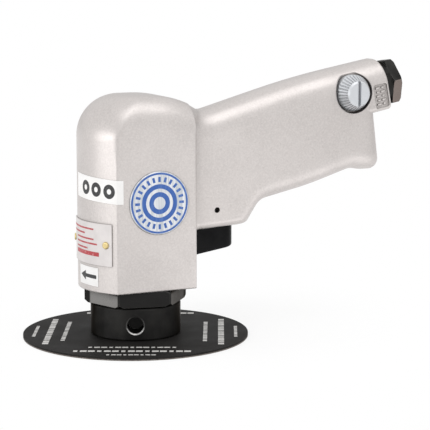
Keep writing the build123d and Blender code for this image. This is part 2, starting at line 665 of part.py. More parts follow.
def regulator_dial():
    """Serrated dial with a coin slot, and its ported spool across the air passage."""
    base = dial_plane()
    rim_high = DIAL_LIFT + DIAL_RIM_H
    face_high = rim_high + DIAL_CONE_H
    spool_end = -(2 * HANDLE_HALF_W - REG_POCKET_DEPTH)
    profile = Polyline((0, spool_end), (SPOOL_R, spool_end), (SPOOL_R, DIAL_LIFT), (DIAL_R, DIAL_LIFT),
                       (DIAL_R, rim_high), (DIAL_FACE_R, face_high - DIAL_FACE_EDGE),
                       (DIAL_FACE_R - DIAL_FACE_EDGE, face_high), (0, face_high), close=True)
    half = make_face(Plane.XZ * profile)
    dial = base.location * revolve(half, Axis.Z)
    slope = atan2(DIAL_R - DIAL_FACE_R, DIAL_CONE_H - DIAL_FACE_EDGE)
    reach = hypot(DIAL_R - DIAL_FACE_R, DIAL_CONE_H)
    lean = Pos(DIAL_R, 0, rim_high) * Rot(0, -degrees(slope), 0) * Pos(0, 0, reach * DIAL_NOTCH_SHARE)
    groove = lean * Cylinder(DIAL_NOTCH_R, reach)
    turns = [(k + 0.5) * 360 / DIAL_NOTCHES for k in range(DIAL_NOTCHES)]
    dial = dial - [base.location * Rot(0, 0, turn) * groove for turn in turns]
    slot = Box(DIAL_SLOT_W, 2 * DIAL_R, 2 * DIAL_SLOT_DEPTH)
    dial = dial - base.location * (Pos(0, 0, face_high) * slot)
    port = Plane(origin=(REG_X, 0, REG_Z), z_dir=AXIS)
    dial = dial - rod(port, SPOOL_PORT_R, -DIAL_R, DIAL_R)
    dial = dial - base.location * ring_groove(SPOOL_R, -(RING_Y - POCKET_FLOOR_Y))
    clip_low = spool_end + CLIP_POCKET_DEPTH - CLIP_T
    groove = ring(SPOOL_R + OVERCUT, SPOOL_R - CLIP_GROOVE, clip_low - SEAT_GAP, clip_low + CLIP_T)
    return dial - base.location * groove


def ring_groove(shaft_r, height):
    """Round-bottomed groove for a seal ring on a shaft along Z."""
    return Pos(0, 0, height) * Torus(shaft_r - RING_WIRE_R + RUN_FIT, RING_WIRE_R)


def regulator_seal():
    """Seal ring in the spool's groove."""
    height = -(RING_Y - POCKET_FLOOR_Y)
    seal = Pos(0, 0, height) * Torus(SPOOL_R - RING_WIRE_R + RUN_FIT, RING_WIRE_R - SEAT_GAP)
    return dial_plane().location * seal


def regulator_clip():
    """Retaining ring on the far end of the spool."""
    clip_low = -(2 * HANDLE_HALF_W - REG_POCKET_DEPTH) + CLIP_POCKET_DEPTH - CLIP_T
    clip = ring(CLIP_R, SPOOL_R - CLIP_GROOVE + SEAT_GAP, clip_low, clip_low + CLIP_T - SEAT_GAP)
    gap = Pos(CLIP_R, 0, clip_low) * Box(CLIP_R, SPOOL_R, 4 * CLIP_T)
    return dial_plane().location * (clip - gap)


def valve_bush():
    """Throttle valve bush with a stem guide, a seat and side ports."""
    low = TRIGGER_POCKET_TOP
    bush = cylinder(BUSH_R - SEAT_GAP, low, SEAT_Z, VALVE_X)
    bush = bush - cylinder(STEM_R + RUN_FIT, low - OVERCUT, SEAT_Z, VALVE_X)
    bush = bush - cylinder(BUSH_SEAT_R, low + BUSH_GUIDE_L, SEAT_Z + OVERCUT, VALVE_X)
    for turn in (0, 90):
        port = Plane(origin=(VALVE_X, 0, FEED_Z), z_dir=(cos(radians(turn)), sin(radians(turn)), 0))
        bush = bush - rod(port, BUSH_PORT_R, -2 * BUSH_R, 2 * BUSH_R)
    for height in bush_seal_heights():
        bush = bush - Pos(VALVE_X, 0, 0) * ring_groove(BUSH_R - SEAT_GAP, height)
    return bush


def bush_seal_heights():
    """Heights of the two seal rings on the bush, below and above its ports."""
    low = TRIGGER_POCKET_TOP + BUSH_GUIDE_L / 2
    high = (FEED_Z + BUSH_PORT_R + SEAT_Z) / 2
    return (low, high)


def bush_seals():
    """Two seal rings on the bush."""
    seals = []
    for height in bush_seal_heights():
        seal = Torus(BUSH_R - RING_WIRE_R - SEAT_GAP + RUN_FIT / 2, RING_WIRE_R - SEAT_GAP)
        seals.append(Pos(VALVE_X, 0, height) * seal)
    return seals


def throttle_valve():
    """Poppet on its stem, pushed up by the trigger."""
    stem = cylinder(STEM_R, STEM_LOW, HEAD_HIGH, VALVE_X)
    head = cylinder(VALVE_HEAD_R, HEAD_LOW, HEAD_HIGH, VALVE_X)
    head = fillet(head.edges().sort_by(Axis.Z)[-1], VALVE_HEAD_T / 4)
    valve = stem + head
    return chamfer(valve.edges().filter_by(GeomType.CIRCLE).sort_by(Axis.Z)[0], STEM_R / 3)


def valve_seal():
    """Rubber washer under the poppet, on the bush's seat."""
    washer = cylinder(VALVE_HEAD_R, SEAT_Z, HEAD_LOW, VALVE_X)
    return washer - cylinder(STEM_R + SEAT_GAP, SEAT_Z - OVERCUT, HEAD_LOW + OVERCUT, VALVE_X)


def valve_spring():
    """Compression spring from the poppet to the top of the chamber."""
    low = HEAD_HIGH + SPRING_WIRE_R + SPRING_END_GAP
    high = CHAMBER_HEIGHT - SPRING_WIRE_R - SPRING_END_GAP
    path = Helix(pitch=(high - low) / SPRING_TURNS, height=high - low, radius=SPRING_R)
    wire = sweep(Plane(origin=path @ 0, z_dir=path % 0) * Circle(SPRING_WIRE_R), path=path)
    return Pos(VALVE_X, 0, low) * wire


def trigger():
    """Sliding finger trigger with a slot for its pin."""
    low = min(TRIGGER_FRONT_Z, TRIGGER_REAR_Z) - OVERCUT
    block = Pos(0, 0, low) * extrude(trigger_outline(0), TRIGGER_TOP - low)
    slope = (TRIGGER_REAR_Z - TRIGGER_FRONT_Z) / (TRIGGER_REAR_X - TRIGGER_FRONT_X)
    fore = TRIGGER_FRONT_X - OVERCUT
    aft = TRIGGER_REAR_X + OVERCUT
    waste = Polyline((fore, TRIGGER_FRONT_Z - OVERCUT * slope), (aft, TRIGGER_REAR_Z + OVERCUT * slope),
                     (aft, low - OVERCUT), (fore, low - OVERCUT), close=True)
    block = block - slab(waste, 2 * TRIGGER_HALF_W)
    block = fillet(block.faces().sort_by(Axis.Z)[0].edges(), TRIGGER_EDGE_ROUND)
    slot_r = PIN_R + PIN_SLOT_GAP
    slot = SlotCenterToCenter(TRIGGER_TRAVEL, slot_r * 2, rotation=90)
    slot = Pos(VALVE_X, PIN_Z - TRIGGER_TRAVEL / 2) * slot
    return block - extrude(Plane.XZ * slot, amount=2 * TRIGGER_HALF_W, both=True)


def trigger_pin():
    """Cross pin that guides and stops the trigger."""
    span = HANDLE_HALF_W - PIN_RECESS
    pin = rod(Plane(origin=(VALVE_X, 0, PIN_Z), z_dir=(0, 1, 0)), PIN_R - SEAT_GAP, -span, span)
    return chamfer(pin.edges().filter_by(GeomType.CIRCLE), PIN_R / 4)


def exhaust_silencer():
    """Felt block at the rear of the exhaust cavity."""
    keep = Box(SILENCER_L, 4 * CAVITY_HALF_W, 4 * GRILLE_H)
    keep = Pos(CAVITY_REAR - SILENCER_L / 2, 0, GRILLE_Z) * keep
    return exhaust_cavity(SILENCER_GAP) & keep


def exhaust_grille():
    """Slotted grille in the rear face of the grip."""
    back = grille_plane().offset(-GRILLE_T)
    plate = extrude(back * grille_outline(0), amount=GRILLE_T)
    for k in range(GRILLE_SLOTS):
        height = (k - (GRILLE_SLOTS - 1) / 2) * GRILLE_SLOT_PITCH
        slot = Pos(0, height) * SlotOverall(GRILLE_SLOT_W, GRILLE_SLOT_H)
        plate = plate - extrude(back * slot, amount=2 * GRILLE_T)
    for side in (-1, 1):
        spot = Plane(back * Pos(0, side * GRILLE_SCREW_PITCH / 2))
        plate = plate - rod(spot, GRILLE_SCREW_R + SEAT_GAP, -OVERCUT, 2 * GRILLE_T)
        plate = plate - rod(spot, GRILLE_HEAD_R + SEAT_GAP, GRILLE_T - GRILLE_HEAD_T, 2 * GRILLE_T)
    return plate


def grille_screws():
    """Two small screws that hold the grille."""
    pieces = []
    for side in (-1, 1):
        spot = Plane(grille_plane() * Pos(0, side * GRILLE_SCREW_PITCH / 2))
        shank = rod(spot, GRILLE_SCREW_R, -GRILLE_SCREW_L - GRILLE_T + SEAT_GAP, -GRILLE_HEAD_T)
        cap = rod(spot, GRILLE_HEAD_R, -GRILLE_HEAD_T, 0)
        cut = spot.location * Box(2 * GRILLE_HEAD_R, GRILLE_HEAD_T / 2, GRILLE_HEAD_T)
        pieces.append(shank + cap - cut)
    return pieces


def clamp_nut():
    """Hexagonal nut that closes the motor bore from below."""
    hexagon = Rot(0, 0, NUT_CORNER_ANGLE) * RegularPolygon(NUT_AF / 2, 6, major_radius=False)
    prism = Pos(0, 0, NUT_BOTTOM) * extrude(hexagon, amount=HEAD_BOTTOM - NUT_BOTTOM)
    turned = cylinder(NUT_CORNER_R, NUT_BOTTOM, HEAD_BOTTOM)
    turned = chamfer(turned.edges().filter_by(GeomType.CIRCLE), NUT_CHAMFER)
    nut = (prism & turned) + cylinder(NUT_THREAD_R - SEAT_GAP, HEAD_BOTTOM, MOTOR_LOW)
    nut = nut - cylinder(NUT_BORE_R, NUT_BOTTOM + NUT_LIP_T, MOTOR_LOW + OVERCUT)
    return nut - cylinder(HUB_NECK_R + NUT_LIP_GAP, NUT_BOTTOM - OVERCUT, MOTOR_LOW)


def dust_seal():
    """Felt ring on the lip of the nut, round the neck of the hub."""
    low = NUT_BOTTOM + NUT_LIP_T
    return ring(NUT_BORE_R - SEAT_GAP, HUB_NECK_R + SEAL_GAP, low, low + SEAL_T)


def lower_plate():
    """Lower end plate of the motor with its bearing seat."""
    bore, outer, width, _ = LOWER_BEARING
    plate = cylinder(MOTOR_R - SEAT_GAP, MOTOR_LOW, CYL_LOW)
    plate = plate - cylinder(outer + SEAT_GAP, MOTOR_LOW - OVERCUT, MOTOR_LOW + width)
    plate = plate - cylinder(bore + PLATE_BORE_GAP, MOTOR_LOW, CYL_LOW + OVERCUT)
    return plate - cylinder(DOWEL_R, CYL_LOW - DOWEL_L / 2, CYL_LOW + OVERCUT, DOWEL_PITCH_R)


def upper_plate():
    """Upper end plate of the motor with its bearing seat."""
    bore, outer, width, _ = UPPER_BEARING
    plate = cylinder(MOTOR_R - SEAT_GAP, CYL_HIGH, MOTOR_HIGH)
    plate = plate - cylinder(outer + SEAT_GAP, MOTOR_HIGH - width, MOTOR_HIGH + OVERCUT)
    plate = plate - cylinder(bore + PLATE_BORE_GAP, CYL_HIGH - OVERCUT, MOTOR_HIGH)
    return plate - cylinder(DOWEL_R, CYL_HIGH - OVERCUT, CYL_HIGH + DOWEL_L / 2, DOWEL_PITCH_R)


def arc_groove(start, end, depth, low, high):
    """Groove round part of the cylinder's outside, between two angles."""
    band = ring(MOTOR_R + OVERCUT, MOTOR_R - depth, low, high)
    middle = radians((start + end) / 2)
    reach = 2 * MOTOR_R
    wedge = Polyline((0, 0), (reach * cos(radians(start)), reach * sin(radians(start))),
                     (reach * cos(middle), reach * sin(middle)),
                     (reach * cos(radians(end)), reach * sin(radians(end))), close=True)
    return band & (Pos(0, 0, low - OVERCUT) * extrude(make_face(wedge), amount=high - low + 2 * OVERCUT))


def motor_cylinder():
    """Motor cylinder with an eccentric bore, an inlet groove and exhaust ports."""
    body = cylinder(MOTOR_R - SEAT_GAP, CYL_LOW, CYL_HIGH)
    body = body - cylinder(CYLINDER_BORE_R, CYL_LOW - OVERCUT, CYL_HIGH + OVERCUT, -ECCENTRIC)
    half = INLET_GROOVE_H / 2
    body = body - arc_groove(INLET_GROOVE_FROM, INLET_GROOVE_SPAN, INLET_GROOVE_DEPTH,
                             FEED_Z - half, FEED_Z + half)
    ports = [radial_hole(INLET_GROOVE_SPAN - INLET_PORT_INSET, FEED_Z + k * half / 2) for k in (-1, 1)]
    middle = (DUCT_LOW + DUCT_HIGH) / 2
    span = (EXHAUST_ROWS - 1) * EXHAUST_ROW_PITCH
    body = body - arc_groove(EXHAUST_GROOVE_FROM, EXHAUST_GROOVE_TO, EXHAUST_GROOVE_DEPTH,
                             DUCT_LOW + OVERCUT, DUCT_HIGH - OVERCUT)
    for angle in EXHAUST_ANGLES:
        for k in range(EXHAUST_ROWS):
            ports.append(radial_hole(angle, middle - span / 2 + k * EXHAUST_ROW_PITCH))
    body = body - ports
    for end in (CYL_LOW, CYL_HIGH):
        body = body - cylinder(DOWEL_R, end - DOWEL_L / 2, end + DOWEL_L / 2, DOWEL_PITCH_R)
    return body


def radial_hole(angle, z):
    """Port through the cylinder wall at an angle and height."""
    out = Vector(cos(radians(angle)), sin(radians(angle)), 0)
    return rod(Plane(origin=(0, 0, z), z_dir=out), CYL_PORT_R, CYLINDER_BORE_R - 2 * ECCENTRIC, MOTOR_R)


def cylinder_pins():
    """Dowels that keep the end plates in line with the cylinder."""
    r = DOWEL_R - SEAT_GAP
    half = DOWEL_L / 2 - SEAT_GAP
    return [cylinder(r, z - half, z + half, DOWEL_PITCH_R) for z in (CYL_LOW, CYL_HIGH)]


def motor_gasket():
    """Ring between the upper end plate and the top of the bore."""
    return ring(MOTOR_R - SEAT_GAP, GASKET_R, MOTOR_HIGH, BORE_TOP)


def rotor():
    """Slotted rotor with its spindle."""
    lower_r = LOWER_BEARING[0]
    upper_r = UPPER_BEARING[0]
    spindle_low = PAD_TOP + DISH_RISE + HUB_WEB_T
    body = cylinder(ROTOR_R, CYL_LOW + ROTOR_END_GAP, CYL_HIGH - ROTOR_END_GAP)
    body = body + cylinder(lower_r - SEAT_GAP, spindle_low, CYL_LOW + OVERCUT)
    body = body + cylinder(upper_r - SEAT_GAP, CYL_HIGH - OVERCUT, MOTOR_HIGH)
    depth = ROTOR_R - VANE_ROOT_R + VANE_GAP
    slot = Box(depth + OVERCUT, VANE_T + 2 * VANE_GAP, 2 * CYLINDER_L)
    slot = Pos(ROTOR_R - depth / 2 + OVERCUT / 2, 0, 0) * slot
    middle = (CYL_LOW + CYL_HIGH) / 2
    body = body - [Pos(0, 0, middle) * Rot(0, 0, k * 360 / VANE_COUNT) * slot for k in range(VANE_COUNT)]
    tapped = cylinder(CLAMP_SHANK_R + SEAT_GAP, spindle_low - OVERCUT, spindle_low + CLAMP_SHANK_L)
    return body - tapped


def rotor_vanes():
    """Five vanes, pushed in flush with the rotor."""
    depth = ROTOR_R - VANE_TIP_GAP - VANE_ROOT_R
    blade = Box(depth, VANE_T, CYLINDER_L - 4 * ROTOR_END_GAP)
    middle = (CYL_LOW + CYL_HIGH) / 2
    place = Pos(VANE_ROOT_R + depth / 2, 0, middle)
    return [Rot(0, 0, k * 360 / VANE_COUNT) * place * blade for k in range(VANE_COUNT)]


def bearing(sizes, low):
    """Ball bearing as outer ring, inner ring, balls and cage."""
    bore, outer, width, count = sizes
    high = low + width
    middle = low + width / 2
    pitch = (bore + outer) / 2
    ball_r = (outer - bore) * BALL_SHARE
    land = (outer - bore) * LAND_SHARE
    track = Pos(0, 0, middle) * Torus(pitch, ball_r + BALL_GAP)
    turns = [2 * pi * (k + 0.5) / count for k in range(count)]
    spots = [Plane(origin=(pitch * cos(a), pitch * sin(a), middle), z_dir=(cos(a), sin(a), 0)) for a in turns]
    cage_half = width / 2 - (outer - bore) * CAGE_END_SHARE
    band = (outer - bore) * CAGE_WALL_SHARE
    cage = ring(pitch + band, pitch - band, middle - cage_half, middle + cage_half)
    return {
        "outer": ring(outer, pitch + land, low, high) - track,
        "inner": ring(pitch - land, bore, low, high) - track,
        "balls": [Pos(spot.origin) * Sphere(ball_r) for spot in spots],
        "cage": cage - [rod(spot, ball_r + BALL_GAP, -ball_r, ball_r) for spot in spots],
    }


def disc_hub():
    """Round hub on the spindle, with tommy-bar holes and a dished underside."""
    hub = cylinder(HUB_R, PAD_TOP, HUB_TOP)
    hub = fillet(hub.edges().filter_by(GeomType.CIRCLE), HUB_EDGE)
    hub = hub + cylinder(HUB_NECK_R, HUB_TOP - OVERCUT, MOTOR_LOW)
    floor = PAD_TOP + DISH_RISE
    dish = Cone(DISH_FOOT_R + SEAT_GAP, DISH_TOP_R + SEAT_GAP, DISH_RISE + SEAT_GAP)
    hub = hub - Pos(0, 0, PAD_TOP + (DISH_RISE + SEAT_GAP) / 2) * dish
    hub = hub - cylinder(LOWER_BEARING[0], floor + HUB_WEB_T, MOTOR_LOW + OVERCUT)
    hub = hub - cylinder(CLAMP_SHANK_R + SEAT_GAP, PAD_TOP, MOTOR_LOW)
    for turn in (0, 180):
        mouth = tommy_plane(TOMMY_ANGLE + turn)
        hub = hub - rod(mouth, TOMMY_R, -TOMMY_DEPTH, OVERCUT)
        flare = Cone(TOMMY_R, TOMMY_R + 2 * TOMMY_CHAMFER, 2 * TOMMY_CHAMFER)
        hub = hub - mouth.location * flare
    return hub


def tommy_plane(angle):
    """Plane at the mouth of a tommy-bar hole, with its normal outwards."""
    out = Vector(cos(radians(angle)), sin(radians(angle)), 0)
    return Plane(origin=out * HUB_R + Vector(0, 0, TOMMY_Z), z_dir=out)


def dished_sheet(low, thickness, hole_r):
    """Flat disc whose middle is drawn up into the hub."""
    high = low + thickness
    profile = Polyline((hole_r, low + DISH_RISE), (DISH_TOP_R, low + DISH_RISE), (DISH_FOOT_R, low),
                       (DISC_R, low), (DISC_R, high), (DISH_FOOT_R, high),
                       (DISH_TOP_R, high + DISH_RISE), (hole_r, high + DISH_RISE), close=True)
    return revolve(Plane.XZ * make_face(profile), Axis.Z)


def backing_pad():
    """Thin fibre pad that carries the abrasive."""
    return dished_sheet(ABRASIVE_T, PAD_T, CLAMP_SHANK_R + SEAT_GAP)


def abrasive_disc():
    """Flat abrasive sheet stuck under the pad."""
    return cylinder(DISC_R, 0, ABRASIVE_T)


def clamp_screw():
    """Flanged screw that clamps the pad to the hub."""
    seat = ABRASIVE_T + DISH_RISE
    flange = cylinder(CLAMP_FLANGE_R, ABRASIVE_T, seat)
    flange = chamfer(flange.edges().filter_by(GeomType.CIRCLE).sort_by(Axis.Z)[0], ABRASIVE_T)
    spindle_low = PAD_TOP + DISH_RISE + HUB_WEB_T
    hole_top = ABRASIVE_T + SPANNER_HOLE_DEPTH
    screw = flange + cylinder(CLAMP_SHANK_R, hole_top, spindle_low + CLAMP_SHANK_L - SEAT_GAP)
    return screw - [cylinder(SPANNER_HOLE_R, 0, hole_top, side * SPANNER_PITCH_R) for side in (-1, 1)]


def nodes():
    """Every piece by its name."""
    pieces = {
        "housing": housing(),
        "data_plate": data_plate(),
        "plate_rivets": plate_rivets(),
        "emblem_disc": emblem_disc(),
        "inlet_bushing": inlet_bushing(),
        "inlet_seal": inlet_seal(),
        "inlet_screen": inlet_screen(),
        "regulator_dial": regulator_dial(),
        "regulator_seal": regulator_seal(),
        "regulator_clip": regulator_clip(),
        "valve_bush": valve_bush(),
        "bush_seals": bush_seals(),
        "throttle_valve": throttle_valve(),
        "valve_seal": valve_seal(),
        "valve_spring": valve_spring(),
        "trigger": trigger(),
        "trigger_pin": trigger_pin(),
        "exhaust_silencer": exhaust_silencer(),
        "exhaust_grille": exhaust_grille(),
        "grille_screws": grille_screws(),
        "clamp_nut": clamp_nut(),
        "dust_seal": dust_seal(),
        "lower_plate": lower_plate(),
        "upper_plate": upper_plate(),
        "motor_cylinder": motor_cylinder(),
        "cylinder_pins": cylinder_pins(),
        "motor_gasket": motor_gasket(),
        "rotor": rotor(),
        "rotor_vanes": rotor_vanes(),
        "disc_hub": disc_hub(),
        "backing_pad": backing_pad(),
        "abrasive_disc": abrasive_disc(),
        "clamp_screw": clamp_screw(),
    }
    for place, sizes, low in (("lower", LOWER_BEARING, MOTOR_LOW),
                              ("upper", UPPER_BEARING, MOTOR_HIGH - UPPER_BEARING[2])):
        for name, piece in bearing(sizes, low).items():
            pieces[f"{place}_bearing_{name}"] = piece
    return pieces


os.makedirs("parts", exist_ok=True)
for node, piece in nodes().items():
    solids = piece if isinstance(piece, list) else [piece]
    export_step(Compound(children=[s for item in solids for s in item.solids()]), f"parts/{node}.step")
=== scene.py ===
import json
import math

import bmesh
import bpy
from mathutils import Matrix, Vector


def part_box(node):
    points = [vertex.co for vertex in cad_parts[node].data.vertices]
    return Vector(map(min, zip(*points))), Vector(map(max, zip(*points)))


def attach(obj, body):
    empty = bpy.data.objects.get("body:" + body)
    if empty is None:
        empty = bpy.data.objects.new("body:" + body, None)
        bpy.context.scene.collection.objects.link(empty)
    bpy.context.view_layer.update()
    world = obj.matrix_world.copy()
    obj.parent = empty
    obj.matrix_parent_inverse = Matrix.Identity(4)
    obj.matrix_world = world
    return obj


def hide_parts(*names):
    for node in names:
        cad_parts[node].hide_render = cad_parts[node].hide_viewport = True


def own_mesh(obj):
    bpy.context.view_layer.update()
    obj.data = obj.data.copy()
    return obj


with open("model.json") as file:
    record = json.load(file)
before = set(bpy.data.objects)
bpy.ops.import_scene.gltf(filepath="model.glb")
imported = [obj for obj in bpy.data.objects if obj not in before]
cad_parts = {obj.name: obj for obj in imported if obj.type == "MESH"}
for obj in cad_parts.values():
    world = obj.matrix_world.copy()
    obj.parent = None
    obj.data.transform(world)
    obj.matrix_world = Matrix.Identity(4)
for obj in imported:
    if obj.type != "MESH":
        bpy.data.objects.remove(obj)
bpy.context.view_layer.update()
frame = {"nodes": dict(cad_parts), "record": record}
nodes = frame["nodes"]

# Lengths are in metres
MM = 0.001
UP = Vector((0, 0, 1))
FLAT_SIDE = Vector((0, -1, 0))

# Head of the housing: a curved front that meets the flat side at an upright edge
HEAD_HALF_W = 21.0 * MM
HEAD_EDGE_X = -16.7 * MM
HEAD_FRONT_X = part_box("housing")[0][0]
FRONT_SAG = HEAD_EDGE_X - HEAD_FRONT_X
FRONT_R = (HEAD_HALF_W**2 + FRONT_SAG**2) / (2 * FRONT_SAG)
FRONT_CENTRE_X = HEAD_FRONT_X + FRONT_R
EDGE_ANGLE = math.asin(HEAD_HALF_W / FRONT_R)

# Softness of the casting's edges, which grows towards the head's crown and the grip's lower edge
EDGE_SOFT = 0.9 * MM
CROWN_SOFT = 5.0 * MM
CROWN_HEIGHT = (80 * MM, 94 * MM)
CROWN_REAR = (0.0, 14 * MM)
GRIP_SOFT = 8.0 * MM
GRIP_HEIGHT = (79 * MM, 83 * MM)
GRIP_FRONT = (46 * MM, 54 * MM)

# Disc and pad
DISC_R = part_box("abrasive_disc")[1][0]
PAD_T = 0.8 * MM
PAD_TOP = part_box("abrasive_disc")[1][2] + PAD_T

# Clamp nut: the way that its dark flats face, and where the painted light on its other flats ends
NUT_FLAT_ANGLE = math.radians(259.4)
NUT_FLAT_REACH = 19.7 * MM
NUT_LIT_REACH = 21.4 * MM
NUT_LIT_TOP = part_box("housing")[0][2] - 1.4 * MM
NUT_LIT_REAR = 15.0 * MM

# Tommy holes of the hub, and the heights under their centre where the painted glint on the bared lip fades
TOMMY_AXIS = Vector((-0.382683, -0.92388, 0.0))
TOMMY_CENTRE = Vector((0.0, 0.0, 8.2)) * MM
TOMMY_R = 3.5 * MM
TOMMY_CHAMFER = 0.6 * MM
TOMMY_GLINT_FADE = (TOMMY_CENTRE.z - 3.0 * MM, TOMMY_CENTRE.z - 0.5 * MM)

# Inlet: its axis, and the way that its flats with painted light face
INLET_TILT = math.radians(10.5)
INLET_END = Vector((121.3, 0, 107.6)) * MM
INLET_AXIS = Vector((math.cos(INLET_TILT), 0, math.sin(INLET_TILT)))
INLET_ACROSS = Vector((-math.sin(INLET_TILT), 0, math.cos(INLET_TILT)))
INLET_HEX_START = 3.8 * MM
INLET_FLAT_DROP = math.radians(24.0)
INLET_FLAT_REACH = 10.0 * MM

# Valve spring
SPRING_WIRE_R = 0.45 * MM
SPRING_TURNS = 7

# Grain of the finishes, as marks in a metre along each axis
MILLED_GRAIN = (120, 120, 5200)
BADGE_GRAIN = (1000, 1000, 45)
EVEN_GRAIN = (900, 900, 900)

# Layers on a surface: how far off it they start, and their thickness
STICKER = (0.02 * MM, 0.1 * MM)
STICKER_INK = (sum(STICKER), 0.03 * MM)
PLATE_INK = (0.56 * MM, 0.03 * MM)
PRINT = (0.03 * MM, 0.03 * MM)
CAST_BAR = (0.0, 0.4 * MM)

# Camera
CAMERA_PLACE = Vector((-274.3, -676.5, 167.94)) * MM
CAMERA_YAW = math.radians(24.845)
CAMERA_PITCH = math.radians(8.897)
CAMERA_LENS = 140.0
CAMERA_SENSOR = 36.0
CAMERA_NEAR = 0.01

# Floor: its size and place, how it whitens away from the object and how it greys far in front
FLOOR_R = 40.0
FLOOR_PLACE = (0.04, 0, -0.02 * MM)
SHADOW_REACH = (0.05, 0.12)
WHITE_SHARE = (0.7, 1.0)
FRONT_WAY = (0.3, -0.954, 0.0)
FRONT_REACH = (0.16, 0.4)
FRONT_WHITE = (1.0, 0.88)

# Surround: the way that it is white, how that fades and its strength
WHITE_WAY = (-0.45, -0.35, 0.82)
WHITE_FADE = (-0.5, 0.15)
WHITE_STRENGTH = (0.55, 1.0)

# Lamps: place, target, width, height and power in watts
LAMP_AIM = (0.03, 0, 0.07)
LAMPS = {
    "top_light": ((0.14, -0.38, 1.15), LAMP_AIM, 1.0, 0.75, 2.1),
    "left_light": ((-0.93, -0.17, 0.12), LAMP_AIM, 1.0, 0.22, 1.45),
    "right_light": ((0.12, -0.25, 0.055), (0.02, 0, 0.06), 0.1, 0.1, 0.01),
    "low_light": ((0.13, -0.105, 0.001), (0.13, -0.105, 1.0), 0.16, 0.09, 0.026),
}


class Nodes:
    """Short ways to add nodes to a node tree."""

    def __init__(self, tree):
        self.tree = tree

    def node(self, kind, **settings):
        """Adds a node with its settings."""
        made = self.tree.nodes.new(kind)
        for key, value in settings.items():
            setattr(made, key, value)
        return made

    def link(self, source, target):
        """Joins an output to an input."""
        self.tree.links.new(source, target)

    def feed(self, target, value):
        """Gives an input another node's output or a constant."""
        if isinstance(value, bpy.types.NodeSocket):
            self.link(value, target)
        else:
            target.default_value = value

    def number(self, operation, *values):
        """Works on one number or two."""
        made = self.node("ShaderNodeMath", operation=operation)
        for target, value in zip(made.inputs, values):
            self.feed(target, value)
        return made.outputs["Value"]

    def vector(self, operation, *values):
        """Works on one vector or two."""
        made = self.node("ShaderNodeVectorMath", operation=operation)
        for target, value in zip(made.inputs, values):
            self.feed(target, value)
        return made.outputs["Value" if operation in ("DOT_PRODUCT", "LENGTH") else "Vector"]

    def product(self, first, second):
        """Multiplies two numbers, such as two masks."""
        return self.number("MULTIPLY", first, second)

    def larger(self, first, second):
        """The larger of two numbers."""
        return self.number("MAXIMUM", first, second)

    def ramp(self, value, low, high, start, end):
        """Maps a value from one range to another, clamped."""
        made = self.node("ShaderNodeMapRange")
        for key, number in zip(("From Min", "From Max", "To Min", "To Max"), (low, high, start, end)):
            made.inputs[key].default_value = number
        self.link(value, made.inputs["Value"])
        return made.outputs["Result"]

    def step(self, value, edge, soft, start=0.0, end=1.0):
        """Goes from one number to another where a value passes a soft edge."""
        return self.ramp(value, edge - soft, edge + soft, start, end)

    def inverse(self, mask):
        """One where a mask is zero."""
        return self.ramp(mask, 0.0, 1.0, 1.0, 0.0)


